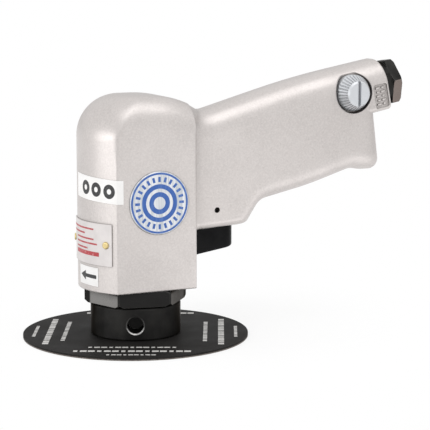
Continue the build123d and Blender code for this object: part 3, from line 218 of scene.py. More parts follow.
class Shader(Nodes):
    """A node material with a Principled surface and short ways to add detail."""

    def __init__(self, name, color, metallic=0.0, roughness=0.5):
        self.material = bpy.data.materials.new(name)
        self.material.use_nodes = True
        super().__init__(self.material.node_tree)
        self.surface = self.tree.nodes["Principled BSDF"]
        self.set(Base_Color=(*color, 1.0), Metallic=metallic, Roughness=roughness)
        self.coords = self.node("ShaderNodeTexCoord").outputs["Object"]
        self.normal = None

    def set(self, **values):
        """Sets the surface's own sockets, with underscores for spaces."""
        for key, value in values.items():
            self.surface.inputs[key.replace("_", " ")].default_value = value
        return self

    def noise(self, scale, detail=2.0, roughness=0.5, vector=None):
        """Noise with a number of features in a metre."""
        made = self.node("ShaderNodeTexNoise")
        made.inputs["Scale"].default_value = scale
        made.inputs["Detail"].default_value = detail
        made.inputs["Roughness"].default_value = roughness
        self.link(vector or self.coords, made.inputs["Vector"])
        return made.outputs["Fac"]

    def grain(self, scale, detail=3.0):
        """Noise with its own number of features in a metre along each axis."""
        mapping = self.node("ShaderNodeMapping")
        mapping.inputs["Scale"].default_value = scale
        self.link(self.coords, mapping.inputs["Vector"])
        return self.noise(1, detail=detail, vector=mapping.outputs["Vector"])

    def spots(self, scale):
        """Round cells, darkest in their middle."""
        made = self.node("ShaderNodeTexVoronoi")
        made.inputs["Scale"].default_value = scale
        self.link(self.coords, made.inputs["Vector"])
        return made.outputs["Distance"]

    def axes(self):
        """Object coordinates along X, Y and Z."""
        made = self.node("ShaderNodeSeparateXYZ")
        self.link(self.coords, made.inputs["Vector"])
        return made.outputs

    def along(self, direction):
        """Distance along a direction in object coordinates."""
        return self.vector("DOT_PRODUCT", self.coords, direction)

    def flats(self, direction, centre, reach):
        """One on the two flats that face along a direction, at a reach from a centre."""
        offset = self.vector("SUBTRACT", self.coords, centre)
        away = self.number("ABSOLUTE", self.vector("DOT_PRODUCT", offset, direction))
        return self.ramp(away, reach - 0.5 * MM, reach - 0.1 * MM, 0.0, 1.0)

    def rim(self, axis, centre, inner, outer):
        """One between two distances from an axis."""
        offset = self.vector("SUBTRACT", self.coords, centre)
        away = self.vector("LENGTH", self.vector("SUBTRACT", offset, self.vector("PROJECT", offset, axis)))
        soft = 0.05 * MM
        return self.product(self.step(away, inner, soft), self.step(away, outer, soft, 1.0, 0.0))

    def rounded(self, radius):
        """Normal with sharp edges rounded, by one radius or by one that varies."""
        made = self.node("ShaderNodeBevel", samples=8)
        self.feed(made.inputs["Radius"], radius)
        return made.outputs["Normal"]

    def edges(self, radius):
        """One along sharp edges and zero on open faces."""
        plain = self.node("ShaderNodeNewGeometry").outputs["Normal"]
        match = self.vector("DOT_PRODUCT", self.rounded(radius), plain)
        return self.ramp(match, 0.99, 0.85, 0.0, 1.0)

    def tint(self, value, other, low=0.35, high=0.65, amount=1.0):
        """Mixes another colour into the base by a value."""
        mix = self.node("ShaderNodeMix", data_type="RGBA")
        base = self.surface.inputs["Base Color"]
        if base.is_linked:
            self.link(base.links[0].from_socket, mix.inputs["A"])
        else:
            mix.inputs["A"].default_value = base.default_value
        mix.inputs["B"].default_value = (*other, 1.0)
        self.link(self.ramp(value, low, high, 0.0, amount), mix.inputs["Factor"])
        self.link(mix.outputs["Result"], base)
        return self

    def paint(self, mask, other, amount=1.0):
        """Mixes another colour into the base where a mask is one."""
        return self.tint(mask, other, low=0.0, high=1.0, amount=amount)

    def worn_edges(self, radius, patches, other, amount):
        """Bares another colour along sharp edges, in patches."""
        bare = self.product(self.edges(radius), self.ramp(patches, 0.35, 0.6, 0.25, 1.0))
        return self.paint(bare, other, amount)

    def paint_shade_in_hollows(self, distance, other, amount):
        """Paints shade into recesses and seams, darker the more the surface is hemmed in."""
        made = self.node("ShaderNodeAmbientOcclusion", samples=6)
        made.inputs["Distance"].default_value = distance
        return self.tint(made.outputs["AO"], other, low=0.9, high=0.45, amount=amount)

    def rough(self, value, low, high):
        """Varies the roughness with a value."""
        self.link(self.ramp(value, 0.3, 0.7, low, high), self.surface.inputs["Roughness"])
        return self

    def bevel(self, radius):
        """Rounds sharp edges in the shading."""
        self.normal = self.rounded(radius)
        self.link(self.normal, self.surface.inputs["Normal"])
        return self

    def bump(self, value, depth, strength=1.0):
        """Adds relief to what the surface's normal has so far."""
        made = self.node("ShaderNodeBump")
        made.inputs["Distance"].default_value = depth
        made.inputs["Strength"].default_value = strength
        self.link(value, made.inputs["Height"])
        if self.normal:
            self.link(self.normal, made.inputs["Normal"])
        self.normal = made.outputs["Normal"]
        self.link(self.normal, self.surface.inputs["Normal"])
        return self

    def turned(self, amount):
        """Stretches highlights up and down, as turning marks round the upright axis do."""
        round_axis = self.node("ShaderNodeTangent", direction_type="RADIAL", axis="Z")
        self.link(round_axis.outputs["Tangent"], self.surface.inputs["Tangent"])
        quarter_turn = 0.25
        return self.set(Anisotropic=amount, Anisotropic_Rotation=quarter_turn)


def cast_aluminium():
    """Bead-blasted casting: fine grain, faint clouding, a few darker flecks and painted shade in its
    hollows.
    """
    s = Shader("cast_aluminium", (0.61, 0.572, 0.555), metallic=0.9, roughness=0.4)
    axes = s.axes()
    crown = s.product(s.ramp(axes["Z"], *CROWN_HEIGHT, 0.0, 1.0), s.ramp(axes["X"], *CROWN_REAR, 1.0, 0.0))
    grip = s.product(s.ramp(axes["Z"], *GRIP_HEIGHT, 1.0, 0.0), s.ramp(axes["X"], *GRIP_FRONT, 0.0, 1.0))
    crown_soft = s.ramp(crown, 0.0, 1.0, EDGE_SOFT, CROWN_SOFT)
    grip_soft = s.ramp(grip, 0.0, 1.0, EDGE_SOFT, GRIP_SOFT)
    s.bevel(s.larger(crown_soft, grip_soft))
    grain = s.noise(1250, detail=3.0, roughness=0.6)
    cloud = s.noise(60)
    flecks = s.noise(950, detail=1.0)
    s.tint(cloud, (0.56, 0.525, 0.51), amount=0.55)
    s.tint(grain, (0.70, 0.66, 0.64), low=0.42, high=0.66, amount=0.6)
    s.tint(flecks, (0.46, 0.42, 0.40), low=0.62, high=0.78, amount=0.35)
    s.worn_edges(0.5 * MM, cloud, (0.80, 0.77, 0.75), 0.6)
    # Painted shade in the recesses, in the valley where the handle meets the head, and along the seams
    s.paint_shade_in_hollows(12.0 * MM, (0.36, 0.333, 0.32), 0.9)
    s.paint_shade_in_hollows(2.2 * MM, (0.24, 0.222, 0.212), 0.9)
    s.rough(cloud, 0.34, 0.42)
    s.bump(s.noise(420), 0.02 * MM, 0.5)
    return s.bump(grain, 0.035 * MM, 0.45).material


def oxide_steel(name, color, roughness):
    """Black oxide over milled steel, before its wear."""
    s = Shader(name, color, metallic=1.0, roughness=roughness)
    s.set(Specular_Tint=(0.45, 0.44, 0.43, 1.0))
    s.bevel(0.35 * MM)
    return s.bump(s.grain(MILLED_GRAIN), 0.006 * MM, 0.5)


def black_steel(name="black_steel", color=(0.024, 0.0235, 0.023), roughness=(0.18, 0.3)):
    """Shader of black oxide that handling has bared along the edges."""
    s = oxide_steel(name, color, 0.22)
    handled = s.noise(110, detail=3.0)
    s.tint(handled, (0.04, 0.039, 0.037), amount=0.8)
    s.worn_edges(0.6 * MM, handled, (0.15, 0.145, 0.14), 0.6)
    return s.rough(handled, *roughness)


def inlet_black_steel():
    """Black oxide with two of the inlet's six flats painted pale, in patches, as painted light."""
    s = black_steel("inlet_black_steel", (0.013, 0.0128, 0.0126), (0.2, 0.32))
    facing = Vector((0, -math.cos(INLET_FLAT_DROP), 0)) - INLET_ACROSS * math.sin(INLET_FLAT_DROP)
    start = INLET_END.dot(INLET_AXIS) + INLET_HEX_START
    hexagon = s.step(s.along(INLET_AXIS), start, soft=0.1 * MM)
    # Painted light: two flats of the hexagon painted pale, in patches, as lit facets
    worn_and_painted_lit = s.product(s.flats(facing, INLET_END, INLET_FLAT_REACH), hexagon)
    patches = s.ramp(s.noise(140, detail=3.0), 0.2, 0.5, 0.75, 1.0)
    return s.paint(s.product(worn_and_painted_lit, patches), (0.21, 0.175, 0.16)).material


def turned_black_steel():
    """Black oxide over turning marks, with the tommy holes' chamfers bared and brightened into a painted
    glint at their lower lips.
    """
    s = black_steel("turned_black_steel", (0.021, 0.0206, 0.0206), (0.36, 0.42)).turned(0.9)
    chamfer = s.rim(TOMMY_AXIS, TOMMY_CENTRE, TOMMY_R + 0.08 * MM, TOMMY_R + TOMMY_CHAMFER)
    # Painted glint: the bare chamfer is bright at the lower lip and faint above
    lower = s.ramp(s.axes()["Z"], *TOMMY_GLINT_FADE, 1.0, 0.1)
    return s.paint(s.product(chamfer, lower), (0.70, 0.69, 0.68)).material


def worn_steel_painted_light():
    """Black oxide with four of the nut's six flats painted pale as lit facets, painted shadow under the
    housing, and real wear along its edges.
    """
    s = oxide_steel("worn_steel_painted_light", (0.024, 0.0235, 0.023), 0.25)
    axes = s.axes()
    middle = (0.0, 0.0, 0.0)
    facing = (math.cos(NUT_FLAT_ANGLE), math.sin(NUT_FLAT_ANGLE), 0.0)
    across = (-math.sin(NUT_FLAT_ANGLE), math.cos(NUT_FLAT_ANGLE), 0.0)
    unlit_flats = s.flats(facing, middle, NUT_FLAT_REACH)
    corners = s.flats(across, middle, NUT_LIT_REACH)
    # Painted light: four flats painted pale as lit facets, the two that face the front left dark
    worn_and_painted_lit = s.product(s.inverse(unlit_flats), s.inverse(corners))
    # Painted shadow: the pale stops short of the housing's underside
    worn_and_painted_lit = s.product(worn_and_painted_lit, s.step(axes["Z"], NUT_LIT_TOP, 0.3 * MM, 1.0, 0.0))
    # Painted light that fades towards the handle
    worn_and_painted_lit = s.product(worn_and_painted_lit, s.ramp(axes["X"], 0.0, NUT_LIT_REAR, 1.0, 0.4))
    patches = s.noise(90, detail=3.0)
    s.paint(s.product(worn_and_painted_lit, s.ramp(patches, 0.2, 0.5, 0.7, 1.0)), (0.25, 0.243, 0.236))
    s.worn_edges(0.5 * MM, patches, (0.30, 0.29, 0.28), 0.7)
    # Painted shadow under the housing's overhang and in the nut's corners
    s.paint_shade_in_hollows(4.5 * MM, (0.012, 0.0118, 0.0115), 1.0)
    return s.rough(patches, 0.2, 0.34).material


def bright_steel():
    """Ground steel with fine marks across the axis."""
    s = Shader("bright_steel", (0.56, 0.57, 0.58), metallic=1.0, roughness=0.28)
    marks = s.grain((200, 200, 6000))
    s.rough(marks, 0.22, 0.36)
    s.tint(s.noise(90), (0.46, 0.47, 0.48), amount=0.6)
    return s.bump(marks, 0.004 * MM, 0.4).material


def dial_chrome():
    """Satin plating with faint turning marks round the dial, and painted shade in its grooves."""
    s = Shader("dial_chrome", (0.66, 0.675, 0.70), metallic=0.7, roughness=0.38)
    s.bevel(0.25 * MM)
    marks = s.grain((300, 7000, 300))
    s.rough(marks, 0.32, 0.44)
    s.tint(s.noise(260), (0.60, 0.62, 0.65), amount=0.6)
    # Painted shade in the serrations and the slot
    s.paint_shade_in_hollows(0.9 * MM, (0.16, 0.165, 0.175), 0.85)
    return s.bump(marks, 0.004 * MM, 0.4).material


def brass():
    """Pale brass, lightly tarnished."""
    s = Shader("brass", (0.74, 0.60, 0.30), metallic=1.0, roughness=0.28)
    tarnish = s.noise(420, detail=3.0)
    s.tint(tarnish, (0.50, 0.38, 0.17), amount=0.6)
    s.rough(tarnish, 0.22, 0.4)
    return s.bump(tarnish, 0.01 * MM, 0.3).material


def plate_metal():
    """Lacquered white plate with a soft sheen."""
    s = Shader("plate_metal", (0.68, 0.645, 0.635), metallic=0.25, roughness=0.4)
    brushed = s.grain((400, 400, 5000))
    s.tint(s.noise(180, detail=3.0), (0.58, 0.55, 0.54), amount=0.6)
    s.rough(brushed, 0.34, 0.46)
    return s.bump(brushed, 0.004 * MM, 0.4).material


def badge_metal():
    """Brushed badge with upright grain."""
    s = Shader("badge_metal", (0.74, 0.75, 0.78), metallic=0.6, roughness=0.36)
    brushed = s.grain(BADGE_GRAIN, detail=4.0)
    s.tint(brushed, (0.50, 0.535, 0.57), low=0.42, high=0.62, amount=0.85)
    s.rough(brushed, 0.3, 0.44)
    return s.bump(brushed, 0.006 * MM, 0.4).material


def black_plastic():
    """Moulded glossy plastic with a faint orange peel."""
    s = Shader("black_plastic", (0.005, 0.005, 0.0055), roughness=0.2)
    s.set(Specular_IOR_Level=0.08)
    s.bevel(0.4 * MM)
    wear = s.noise(150, detail=3.0)
    s.tint(wear, (0.009, 0.009, 0.0095), amount=0.8)
    s.worn_edges(0.6 * MM, wear, (0.03, 0.03, 0.031), 0.6)
    s.rough(wear, 0.15, 0.28)
    return s.bump(s.noise(900), 0.008 * MM, 0.4).material


def rubber():
    """Matte seal rubber."""
    s = Shader("rubber", (0.018, 0.018, 0.018), roughness=0.75)
    dust = s.noise(300, detail=3.0)
    s.tint(dust, (0.04, 0.04, 0.039), amount=0.7)
    return s.bump(dust, 0.01 * MM, 0.4).material


def felt():
    """Pressed wool felt."""
    s = Shader("felt", (0.30, 0.28, 0.25), roughness=0.95)
    s.set(Sheen_Weight=0.4)
    fibres = s.grain((2600, 900, 1700), detail=5.0)
    s.tint(fibres, (0.18, 0.17, 0.15), amount=0.8)
    return s.bump(fibres, 0.12 * MM, 0.8).material


def grey_iron():
    """Ground cast iron."""
    s = Shader("grey_iron", (0.26, 0.26, 0.265), metallic=0.9, roughness=0.42)
    speck = s.noise(1400)
    s.tint(speck, (0.16, 0.16, 0.165), low=0.5, high=0.75, amount=0.8)
    s.rough(speck, 0.36, 0.5)
    return s.bump(speck, 0.008 * MM, 0.4).material


def phenolic():
    """Cloth-filled phenolic vane."""
    s = Shader("phenolic", (0.20, 0.095, 0.042), roughness=0.55)
    weave = s.spots(1900)
    s.tint(weave, (0.10, 0.045, 0.02), amount=0.8)
    return s.bump(weave, 0.02 * MM, 0.5).material


def fibre_pad():
    """Dark fibre board with a faint woven grain."""
    s = Shader("fibre_pad", (0.013, 0.012, 0.0115), roughness=0.6)
    s.set(Specular_IOR_Level=0.1)
    weave = s.grain((1500, 1500, 300))
    cloud = s.noise(70, detail=3.0)
    s.tint(cloud, (0.02, 0.019, 0.018), amount=0.8)
    s.tint(weave, (0.035, 0.033, 0.031), low=0.55, high=0.75, amount=0.6)
    s.rough(cloud, 0.55, 0.7)
    return s.bump(weave, 0.02 * MM, 0.5).material


def abrasive():
    """Grit in brown resin."""
    s = Shader("abrasive", (0.085, 0.072, 0.064), roughness=0.8)
    grit = s.spots(1500)
    s.tint(grit, (0.19, 0.165, 0.145), low=0.2, high=0.6, amount=0.9)
    s.tint(s.noise(2400), (0.03, 0.025, 0.022), low=0.55, high=0.7, amount=0.7)
    return s.bump(grit, 0.15 * MM, 0.9).material


def white_vinyl():
    """White sticker stock, faintly soiled."""
    s = Shader("white_vinyl", (0.86, 0.85, 0.845), roughness=0.38)
    soil = s.noise(160, detail=4.0)
    s.tint(soil, (0.78, 0.77, 0.75), amount=0.6)
    s.rough(soil, 0.32, 0.46)
    return s.bump(s.noise(500), 0.006 * MM, 0.4).material


def ink(name, color, worn_and_painted_lit, grain=EVEN_GRAIN):
    """Printed ink, worn thin in places or along a grain."""
    s = Shader(name, color, roughness=0.45)
    wear = s.grain(grain)
    s.tint(wear, worn_and_painted_lit, low=0.5, high=0.75, amount=0.7)
    return s.bump(wear, 0.004 * MM, 0.3).material


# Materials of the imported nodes, by their slot
FINISHES = {
    "cast_aluminium": cast_aluminium(),
    "plate_metal": plate_metal(),
    "badge_metal": badge_metal(),
    "brass": brass(),
    "black_steel": black_steel().material,
    "bright_steel": bright_steel(),
    "dial_chrome": dial_chrome(),
    "rubber": rubber(),
    "black_plastic": black_plastic(),
    "felt": felt(),
    "grey_iron": grey_iron(),
    "phenolic": phenolic(),
    "fibre_pad": fibre_pad(),
    "abrasive": abrasive(),
}
for part in frame["record"]["subparts"]:
    for place in nodes[part["node"]].material_slots:
        place.material = FINISHES[part["material_slot"]]

# Nodes with finishes of their own: real wear, and painted light on the nut's and inlet's flats and the
# hub's tommy holes
nodes["clamp_nut"].material_slots[0].material = worn_steel_painted_light()
nodes["disc_hub"].material_slots[0].material = turned_black_steel()
nodes["inlet_bushing"].material_slots[0].material = inlet_black_steel()

# Materials of the stickers and the print
VINYL = white_vinyl()
DARK_INK = ink("dark_ink", (0.02, 0.02, 0.021), (0.10, 0.10, 0.10))
RED_INK = ink("red_ink", (0.42, 0.035, 0.045), (0.62, 0.35, 0.34))
BLUE_INK = ink("blue_ink", (0.028, 0.105, 0.38), (0.16, 0.27, 0.55), BADGE_GRAIN)
WHITE_INK = ink("white_ink", (0.62, 0.61, 0.59), (0.30, 0.29, 0.28))


def finish_mesh(name, mesh, material, body):
    """Turns a bmesh into a piece that rides on a body."""
    bmesh.ops.recalc_face_normals(mesh, faces=mesh.faces)
    data = bpy.data.meshes.new(name)
    mesh.to_mesh(data)
    mesh.free()
    data.materials.append(material)
    piece = bpy.data.objects.new(name, data)
    bpy.context.collection.objects.link(piece)
    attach(piece, body)
    return piece


def join_loops(mesh, loops, closed):
    """Skins a run of loops of points, which is closed on itself or capped at its ends."""
    following = loops[1:] + loops[:1] if closed else loops[1:]
    for a, b in zip(loops, following):
        for i in range(len(a)):
            k = (i + 1) % len(a)
            mesh.faces.new((a[i], a[k], b[k], b[i]))
    if not closed:
        mesh.faces.new(loops[0])
        mesh.faces.new(loops[-1])


def closed_patch(name, point, steps, layer, material, body):
    """Thin closed sheet over a surface. point(u, v) gives a place and its outward normal."""
    steps_u, steps_v = steps
    lift, thickness = layer
    mesh = bmesh.new()
    grids = []
    for height in (lift, lift + thickness):
        grid = []
        for i in range(steps_u + 1):
            row = []
            for j in range(steps_v + 1):
                place, normal = point(i / steps_u, j / steps_v)
                row.append(mesh.verts.new(place + normal * height))
            grid.append(row)
        grids.append(grid)
    low, high = grids
    for i in range(steps_u):
        for j in range(steps_v):
            mesh.faces.new((high[i][j], high[i + 1][j], high[i + 1][j + 1], high[i][j + 1]))
            mesh.faces.new((low[i][j], low[i][j + 1], low[i + 1][j + 1], low[i + 1][j]))
    rim = [(i, 0) for i in range(steps_u)] + [(steps_u, j) for j in range(steps_v)]
    rim += [(i, steps_v) for i in range(steps_u, 0, -1)] + [(0, j) for j in range(steps_v, 0, -1)]
    for (a, b), (c, d) in zip(rim, rim[1:] + rim[:1]):
        mesh.faces.new((low[a][b], low[c][d], high[c][d], high[a][b]))
    return finish_mesh(name, mesh, material, body)


def closed_ring(name, point, steps, layer, material, body):
    """Thin closed ring. point(u, v) runs round with u and across with v."""
    lift, thickness = layer
    mesh = bmesh.new()
    loops = []
    for v, height in ((0, lift), (1, lift), (1, lift + thickness), (0, lift + thickness)):
        loop = []
        for i in range(steps):
            place, normal = point(i / steps, v)
            loop.append(mesh.verts.new(place + normal * height))
        loops.append(loop)
    join_loops(mesh, loops, closed=True)
    return finish_mesh(name, mesh, material, body)


def flat_bar(mesh, centre, right, up, normal, half_w, half_h, layer):
    """Adds a flat bar to a mesh."""
    lift, thickness = layer
    corners = []
    for height in (lift, lift + thickness):
        for a, b in ((-1, -1), (1, -1), (1, 1), (-1, 1)):
            place = centre + right * (a * half_w) + up * (b * half_h) + normal * height
            corners.append(mesh.verts.new(place))
    faces = [(3, 2, 1, 0), (4, 5, 6, 7)] + [(i, (i + 1) % 4, (i + 1) % 4 + 4, i + 4) for i in range(4)]
    for face in faces:
        mesh.faces.new([corners[i] for i in face])


def head_wrap(along, height):
    """Place and normal on the head's skin. along is the distance round from the front edge,
    positive on the flat side and negative on the curved front."""
    if along >= 0:
        return Vector((HEAD_EDGE_X + along, -HEAD_HALF_W, height)), FLAT_SIDE
    angle = EDGE_ANGLE + along / FRONT_R
    normal = Vector((-math.cos(angle), -math.sin(angle), 0))
    return Vector((FRONT_CENTRE_X, 0, height)) + normal * FRONT_R, normal


def front_along(degrees):
    """Distance from the front edge to an angle on the curved front."""
    return (math.radians(degrees) - EDGE_ANGLE) * FRONT_R


def front_span(start, end):
    """Distances from the front edge to two angles on the curved front, in degrees."""
    return front_along(start), front_along(end)


def head_patch(name, span, heights, layer, material, tilt=0.0, steps=24):
    """Sheet on the head's skin between two distances round it and two heights."""
    left, right = span
    low, high = heights
    rows = 4

    def point(u, v):
        along = left + (right - left) * u
        rise = tilt * (along - (left + right) / 2)
        return head_wrap(along, low + (high - low) * v + rise)
    return closed_patch(name, point, (steps, rows), layer, material, "tool_body")


def label_ring(name, along, height):
    """Oval ring of ink on the front sticker."""
    half_w = 2.9 * MM
    half_h = 3.1 * MM
    hole = 0.38
    steps = 36

    def point(u, v):
        turn = math.tau * u
        share = hole + (1 - hole) * v
        return head_wrap(along + half_w * share * math.cos(turn), height + half_h * share * math.sin(turn))
    return closed_ring(name, point, steps, STICKER_INK, DARK_INK, "tool_body")


def front_label():
    """White sticker round the front edge of the head, with plain dark rings."""
    left = front_along(-8)
    right = 3.0 * MM
    low = 62.9 * MM
    high = 73.2 * MM
    tilt = -0.055
    label = head_patch("front_label", (left, right), (low, high), STICKER, VINYL, tilt, steps=40)
    first_ring = -3.8 * MM
    ring_pitch = 7.2 * MM
    for k in range(3):
        along = first_ring - k * ring_pitch
        height = (low + high) / 2 + tilt * (along - (left + right) / 2)
        ring = label_ring(f"label_ring_{k + 1}", along, height)


def arrow_label():
    """White sticker low on the front, with an arrow for the way the disc turns."""
    low = 25.6 * MM
    high = 33.8 * MM
    label = head_patch("arrow_label", front_span(-4, 24), (low, high), STICKER, VINYL)
    middle = (low + high) / 2
    shaft_half = 0.8 * MM
    heights = (middle - shaft_half, middle + shaft_half)
    shaft = head_patch("arrow_shaft", front_span(5, 22), heights, STICKER_INK, DARK_INK)
    tip, root = front_span(-1, 7.5)
    head_half = 2.1 * MM
    head_steps = (12, 2)

    def point(u, v):
        along = tip + (root - tip) * u
        return head_wrap(along, middle + head_half * u * (2 * v - 1))
    head = closed_patch("arrow_head", point, head_steps, STICKER_INK, DARK_INK, "tool_body")


def plate_print():
    """Plain rules printed on the plate. Each row has the rule's height and half width in millimetres
    and its two ends in degrees on the curved front."""
    thin = 0.35
    thick = 0.9
    rows = (
        (50.6, thin, -19, 20),
        (48.4, thin, -19, 8),
        (46.2, thin, -8, 20),
        (44.2, thin, -8, 24),
        (42.0, thin, -8, 12),
        (39.9, thick, -8, 26),
    )
    for k, (height, half, start, end) in enumerate(rows):
        span = front_span(start, end)
        heights = (height * MM - half * MM, height * MM + half * MM)
        rule = head_patch(f"plate_rule_{k + 1}", span, heights, PLATE_INK, RED_INK, steps=16)


def badge_ring(name, centre, inner, outer):
    """Ring of ink on the badge."""
    steps = 72

    def point(u, v):
        turn = math.tau * u
        r = inner + (outer - inner) * v
        return centre + Vector((math.cos(turn), 0, math.sin(turn))) * r, FLAT_SIDE
    return closed_ring(name, point, steps, PRINT, BLUE_INK, "tool_body")


def badge_print():
    """Blue rings and ticks on the badge, at shares of its radius."""
    low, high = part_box("emblem_disc")
    centre = Vector(((low[0] + high[0]) / 2, low[1], (low[2] + high[2]) / 2))
    radius = (high[0] - low[0]) / 2
    rings = ((0.905, 0.965), (0.46, 0.60), (0.20, 0.35))
    for k, (inner, outer) in enumerate(rings):
        ring = badge_ring(f"badge_ring_{k + 1}", centre, inner * radius, outer * radius)
    count = 24
    reach = 0.75 * radius
    half_l = 0.08 * radius
    half_w = 0.04 * radius
    mesh = bmesh.new()
    for k in range(count):
        turn = math.tau * k / count
        along = Vector((math.cos(turn), 0, math.sin(turn)))
        across = Vector((-math.sin(turn), 0, math.cos(turn)))
        flat_bar(mesh, centre + along * reach, along, across, FLAT_SIDE, half_l, half_w, PRINT)
    ticks = finish_mesh("badge_ticks", mesh, BLUE_INK, "tool_body")


def disc_print():
    """Plain white dashes on the pad, in four groups of rows. Each row has its share of the disc's radius,
    its number of dashes, and their pitch and half width in millimetres."""
    rows = ((0.62, 13, 3.0, 0.9), (0.76, 15, 3.4, 1.3), (0.89, 9, 2.4, 0.7))
    long_dash = 0.42
    short_dash = 0.26
    first_group = -115
    mesh = bmesh.new()
    for group in range(4):
        middle = math.radians(first_group + 90 * group)
        along = Vector((math.cos(middle), math.sin(middle), 0))
        across = Vector((-math.sin(middle), math.cos(middle), 0))
        for share, count, pitch, half_w in rows:
            for k in range(count):
                half_l = (long_dash if (2 * k + group) % 3 else short_dash) * pitch * MM
                shift = (k - (count - 1) / 2) * pitch * MM
                centre = along * (share * DISC_R) + across * shift + UP * PAD_TOP
                flat_bar(mesh, centre, across, along, UP, half_l, half_w * MM, PRINT)
    dashes = finish_mesh("disc_dashes", mesh, WHITE_INK, "spindle")


def panel_bars():
    """Plain cast bars in the panel beside the inlet, long and short in turn."""
    middle = Vector((117.3 * MM, -12.2 * MM, 103.26 * MM))
    rows = 5
    pitch = 1.9 * MM
    reach = 1.3 * MM
    long_half = 1.1 * MM
    short_half = 0.75 * MM
    half_w = 0.42 * MM
    mesh = bmesh.new()
    for k in range(rows):
        row = middle + INLET_ACROSS * ((k - rows // 2) * pitch)
        halves = (short_half, long_half) if k % 2 else (long_half, short_half)
        for shift, half_l in zip((-reach, reach), halves):
            centre = row + INLET_AXIS * shift
            flat_bar(mesh, centre, INLET_AXIS, INLET_ACROSS, FLAT_SIDE, half_l, half_w, CAST_BAR)
    bars = finish_mesh("panel_bars", mesh, FINISHES["cast_aluminium"], "tool_body")


def inlet_thread():
    """Thread ridge inside the mouth of the air inlet, which fades out at its ends."""
    pitch = 1.34 * MM
    turns = 7
    steps = 48
    fade_steps = 12
    least_share = 0.05
    wall = 5.74 * MM
    depth = 0.32 * MM
    flank = 0.42 * pitch
    start = -2.6 * MM
    side = Vector((0, 1, 0))
    other = INLET_AXIS.cross(side)
    last = turns * steps
    mesh = bmesh.new()
    rows = []
    for i in range(last + 1):
        turn = math.tau * i / steps
        out = side * math.cos(turn) + other * math.sin(turn)
        along = start + pitch * i / steps
        share = max(least_share, min(1.0, i / fade_steps, (last - i) / fade_steps))
        row = []
        for shift, r in ((-flank, wall), (0, wall - depth * share), (flank, wall)):
            row.append(mesh.verts.new(INLET_END + INLET_AXIS * (along + shift) + out * r))
        rows.append(row)
    join_loops(mesh, rows, closed=False)
    thread = finish_mesh("inlet_thread", mesh, FINISHES["black_steel"], "tool_body")


def valve_spring():
    """Coiled compression spring from its seat to the top of its chamber, riding on the valve in place of
    the plain spring part.
    """
    low, high = (Vector(corner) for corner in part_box("valve_spring"))
    seat = Vector(((low.x + high.x) / 2, (low.y + high.y) / 2, low.z))
    coil_r = (high.x - low.x) / 2 - SPRING_WIRE_R
    height = high.z - low.z
    steps_a_turn = 32
    steps = steps_a_turn * SPRING_TURNS
    sides = 10
    mesh = bmesh.new()
    rings = []
    for i in range(steps + 1):
        turn = math.tau * SPRING_TURNS * i / steps
        out = Vector((math.cos(turn), math.sin(turn), 0))
        rise = SPRING_WIRE_R + (height - 2 * SPRING_WIRE_R) * i / steps
        middle = seat + out * coil_r + UP * rise
        ring = []
        for k in range(sides):
            lean = math.tau * k / sides
            offset = out * math.cos(lean) + UP * math.sin(lean)
            ring.append(mesh.verts.new(middle + offset * SPRING_WIRE_R))
        rings.append(ring)
    join_loops(mesh, rings, closed=False)
    spring = finish_mesh("valve_spring_coil", mesh, FINISHES["bright_steel"], "valve")
    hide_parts("valve_spring")
    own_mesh(spring)


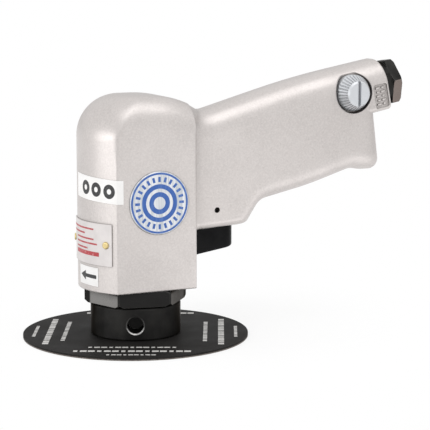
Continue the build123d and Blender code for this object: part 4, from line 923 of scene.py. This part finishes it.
def build_floor():
    """Pale floor that keeps the shadow near the object, is white further off and greyer far in front.
    The white is for the rays that show the background: from the camera, mirrored or passed through."""
    s = Shader("floor", (0.96, 0.96, 0.96), roughness=0.9)
    s.set(Specular_IOR_Level=0.1)
    rays = s.node("ShaderNodeLightPath").outputs
    shown = rays["Is Camera Ray"]
    for kind in ("Is Glossy Ray", "Is Transmission Ray"):
        shown = s.larger(shown, rays[kind])
    fade = s.ramp(s.vector("LENGTH", s.coords), *SHADOW_REACH, *WHITE_SHARE)
    white = s.node("ShaderNodeEmission")
    s.link(s.ramp(s.along(FRONT_WAY), *FRONT_REACH, *FRONT_WHITE), white.inputs["Strength"])
    mix = s.node("ShaderNodeMixShader")
    s.link(s.product(shown, fade), mix.inputs["Fac"])
    s.link(s.surface.outputs["BSDF"], mix.inputs[1])
    s.link(white.outputs["Emission"], mix.inputs[2])
    s.link(mix.outputs["Shader"], s.tree.nodes["Material Output"].inputs["Surface"])
    mesh = bmesh.new()
    bmesh.ops.create_circle(mesh, cap_ends=True, segments=96, radius=FLOOR_R)
    data = bpy.data.meshes.new("floor")
    mesh.to_mesh(data)
    mesh.free()
    data.materials.append(s.material)
    floor = bpy.data.objects.new("floor", data)
    floor.location = FLOOR_PLACE
    bpy.context.collection.objects.link(floor)


def build_world():
    """White surround, greyer at the right and behind."""
    world = bpy.data.worlds.new("studio")
    bpy.context.scene.world = world
    world.use_nodes = True
    s = Nodes(world.node_tree)
    direction = s.node("ShaderNodeTexCoord").outputs["Generated"]
    facing = s.vector("DOT_PRODUCT", direction, WHITE_WAY)
    surround = s.tree.nodes["Background"]
    surround.inputs["Color"].default_value = (1, 1, 1, 1)
    s.link(s.ramp(facing, *WHITE_FADE, *WHITE_STRENGTH), surround.inputs["Strength"])


def build_lights():
    """Overhead and side softboxes, each aimed at a point."""
    for name, (place, target, width, height, power) in LAMPS.items():
        lamp = bpy.data.lights.new(name, "AREA")
        lamp.shape = "RECTANGLE"
        lamp.size = width
        lamp.size_y = height
        lamp.energy = power
        light = bpy.data.objects.new(name, lamp)
        light.location = place
        light.rotation_euler = (Vector(target) - Vector(place)).to_track_quat("-Z", "Y").to_euler()
        bpy.context.collection.objects.link(light)


def build_camera():
    """Camera at the photograph's place and angle."""
    lens = bpy.data.cameras.new("camera")
    lens.lens = CAMERA_LENS
    lens.sensor_width = CAMERA_SENSOR
    lens.clip_start = CAMERA_NEAR
    camera = bpy.data.objects.new("camera", lens)
    camera.location = CAMERA_PLACE
    camera.rotation_euler = (math.pi / 2 - CAMERA_PITCH, 0, -CAMERA_YAW)
    bpy.context.collection.objects.link(camera)
    bpy.context.scene.camera = camera


front_label()
arrow_label()
plate_print()
badge_print()
disc_print()
panel_bars()
inlet_thread()
valve_spring()
build_floor()
build_world()
build_lights()
build_camera()
bpy.context.scene.view_settings.view_transform = "Standard"
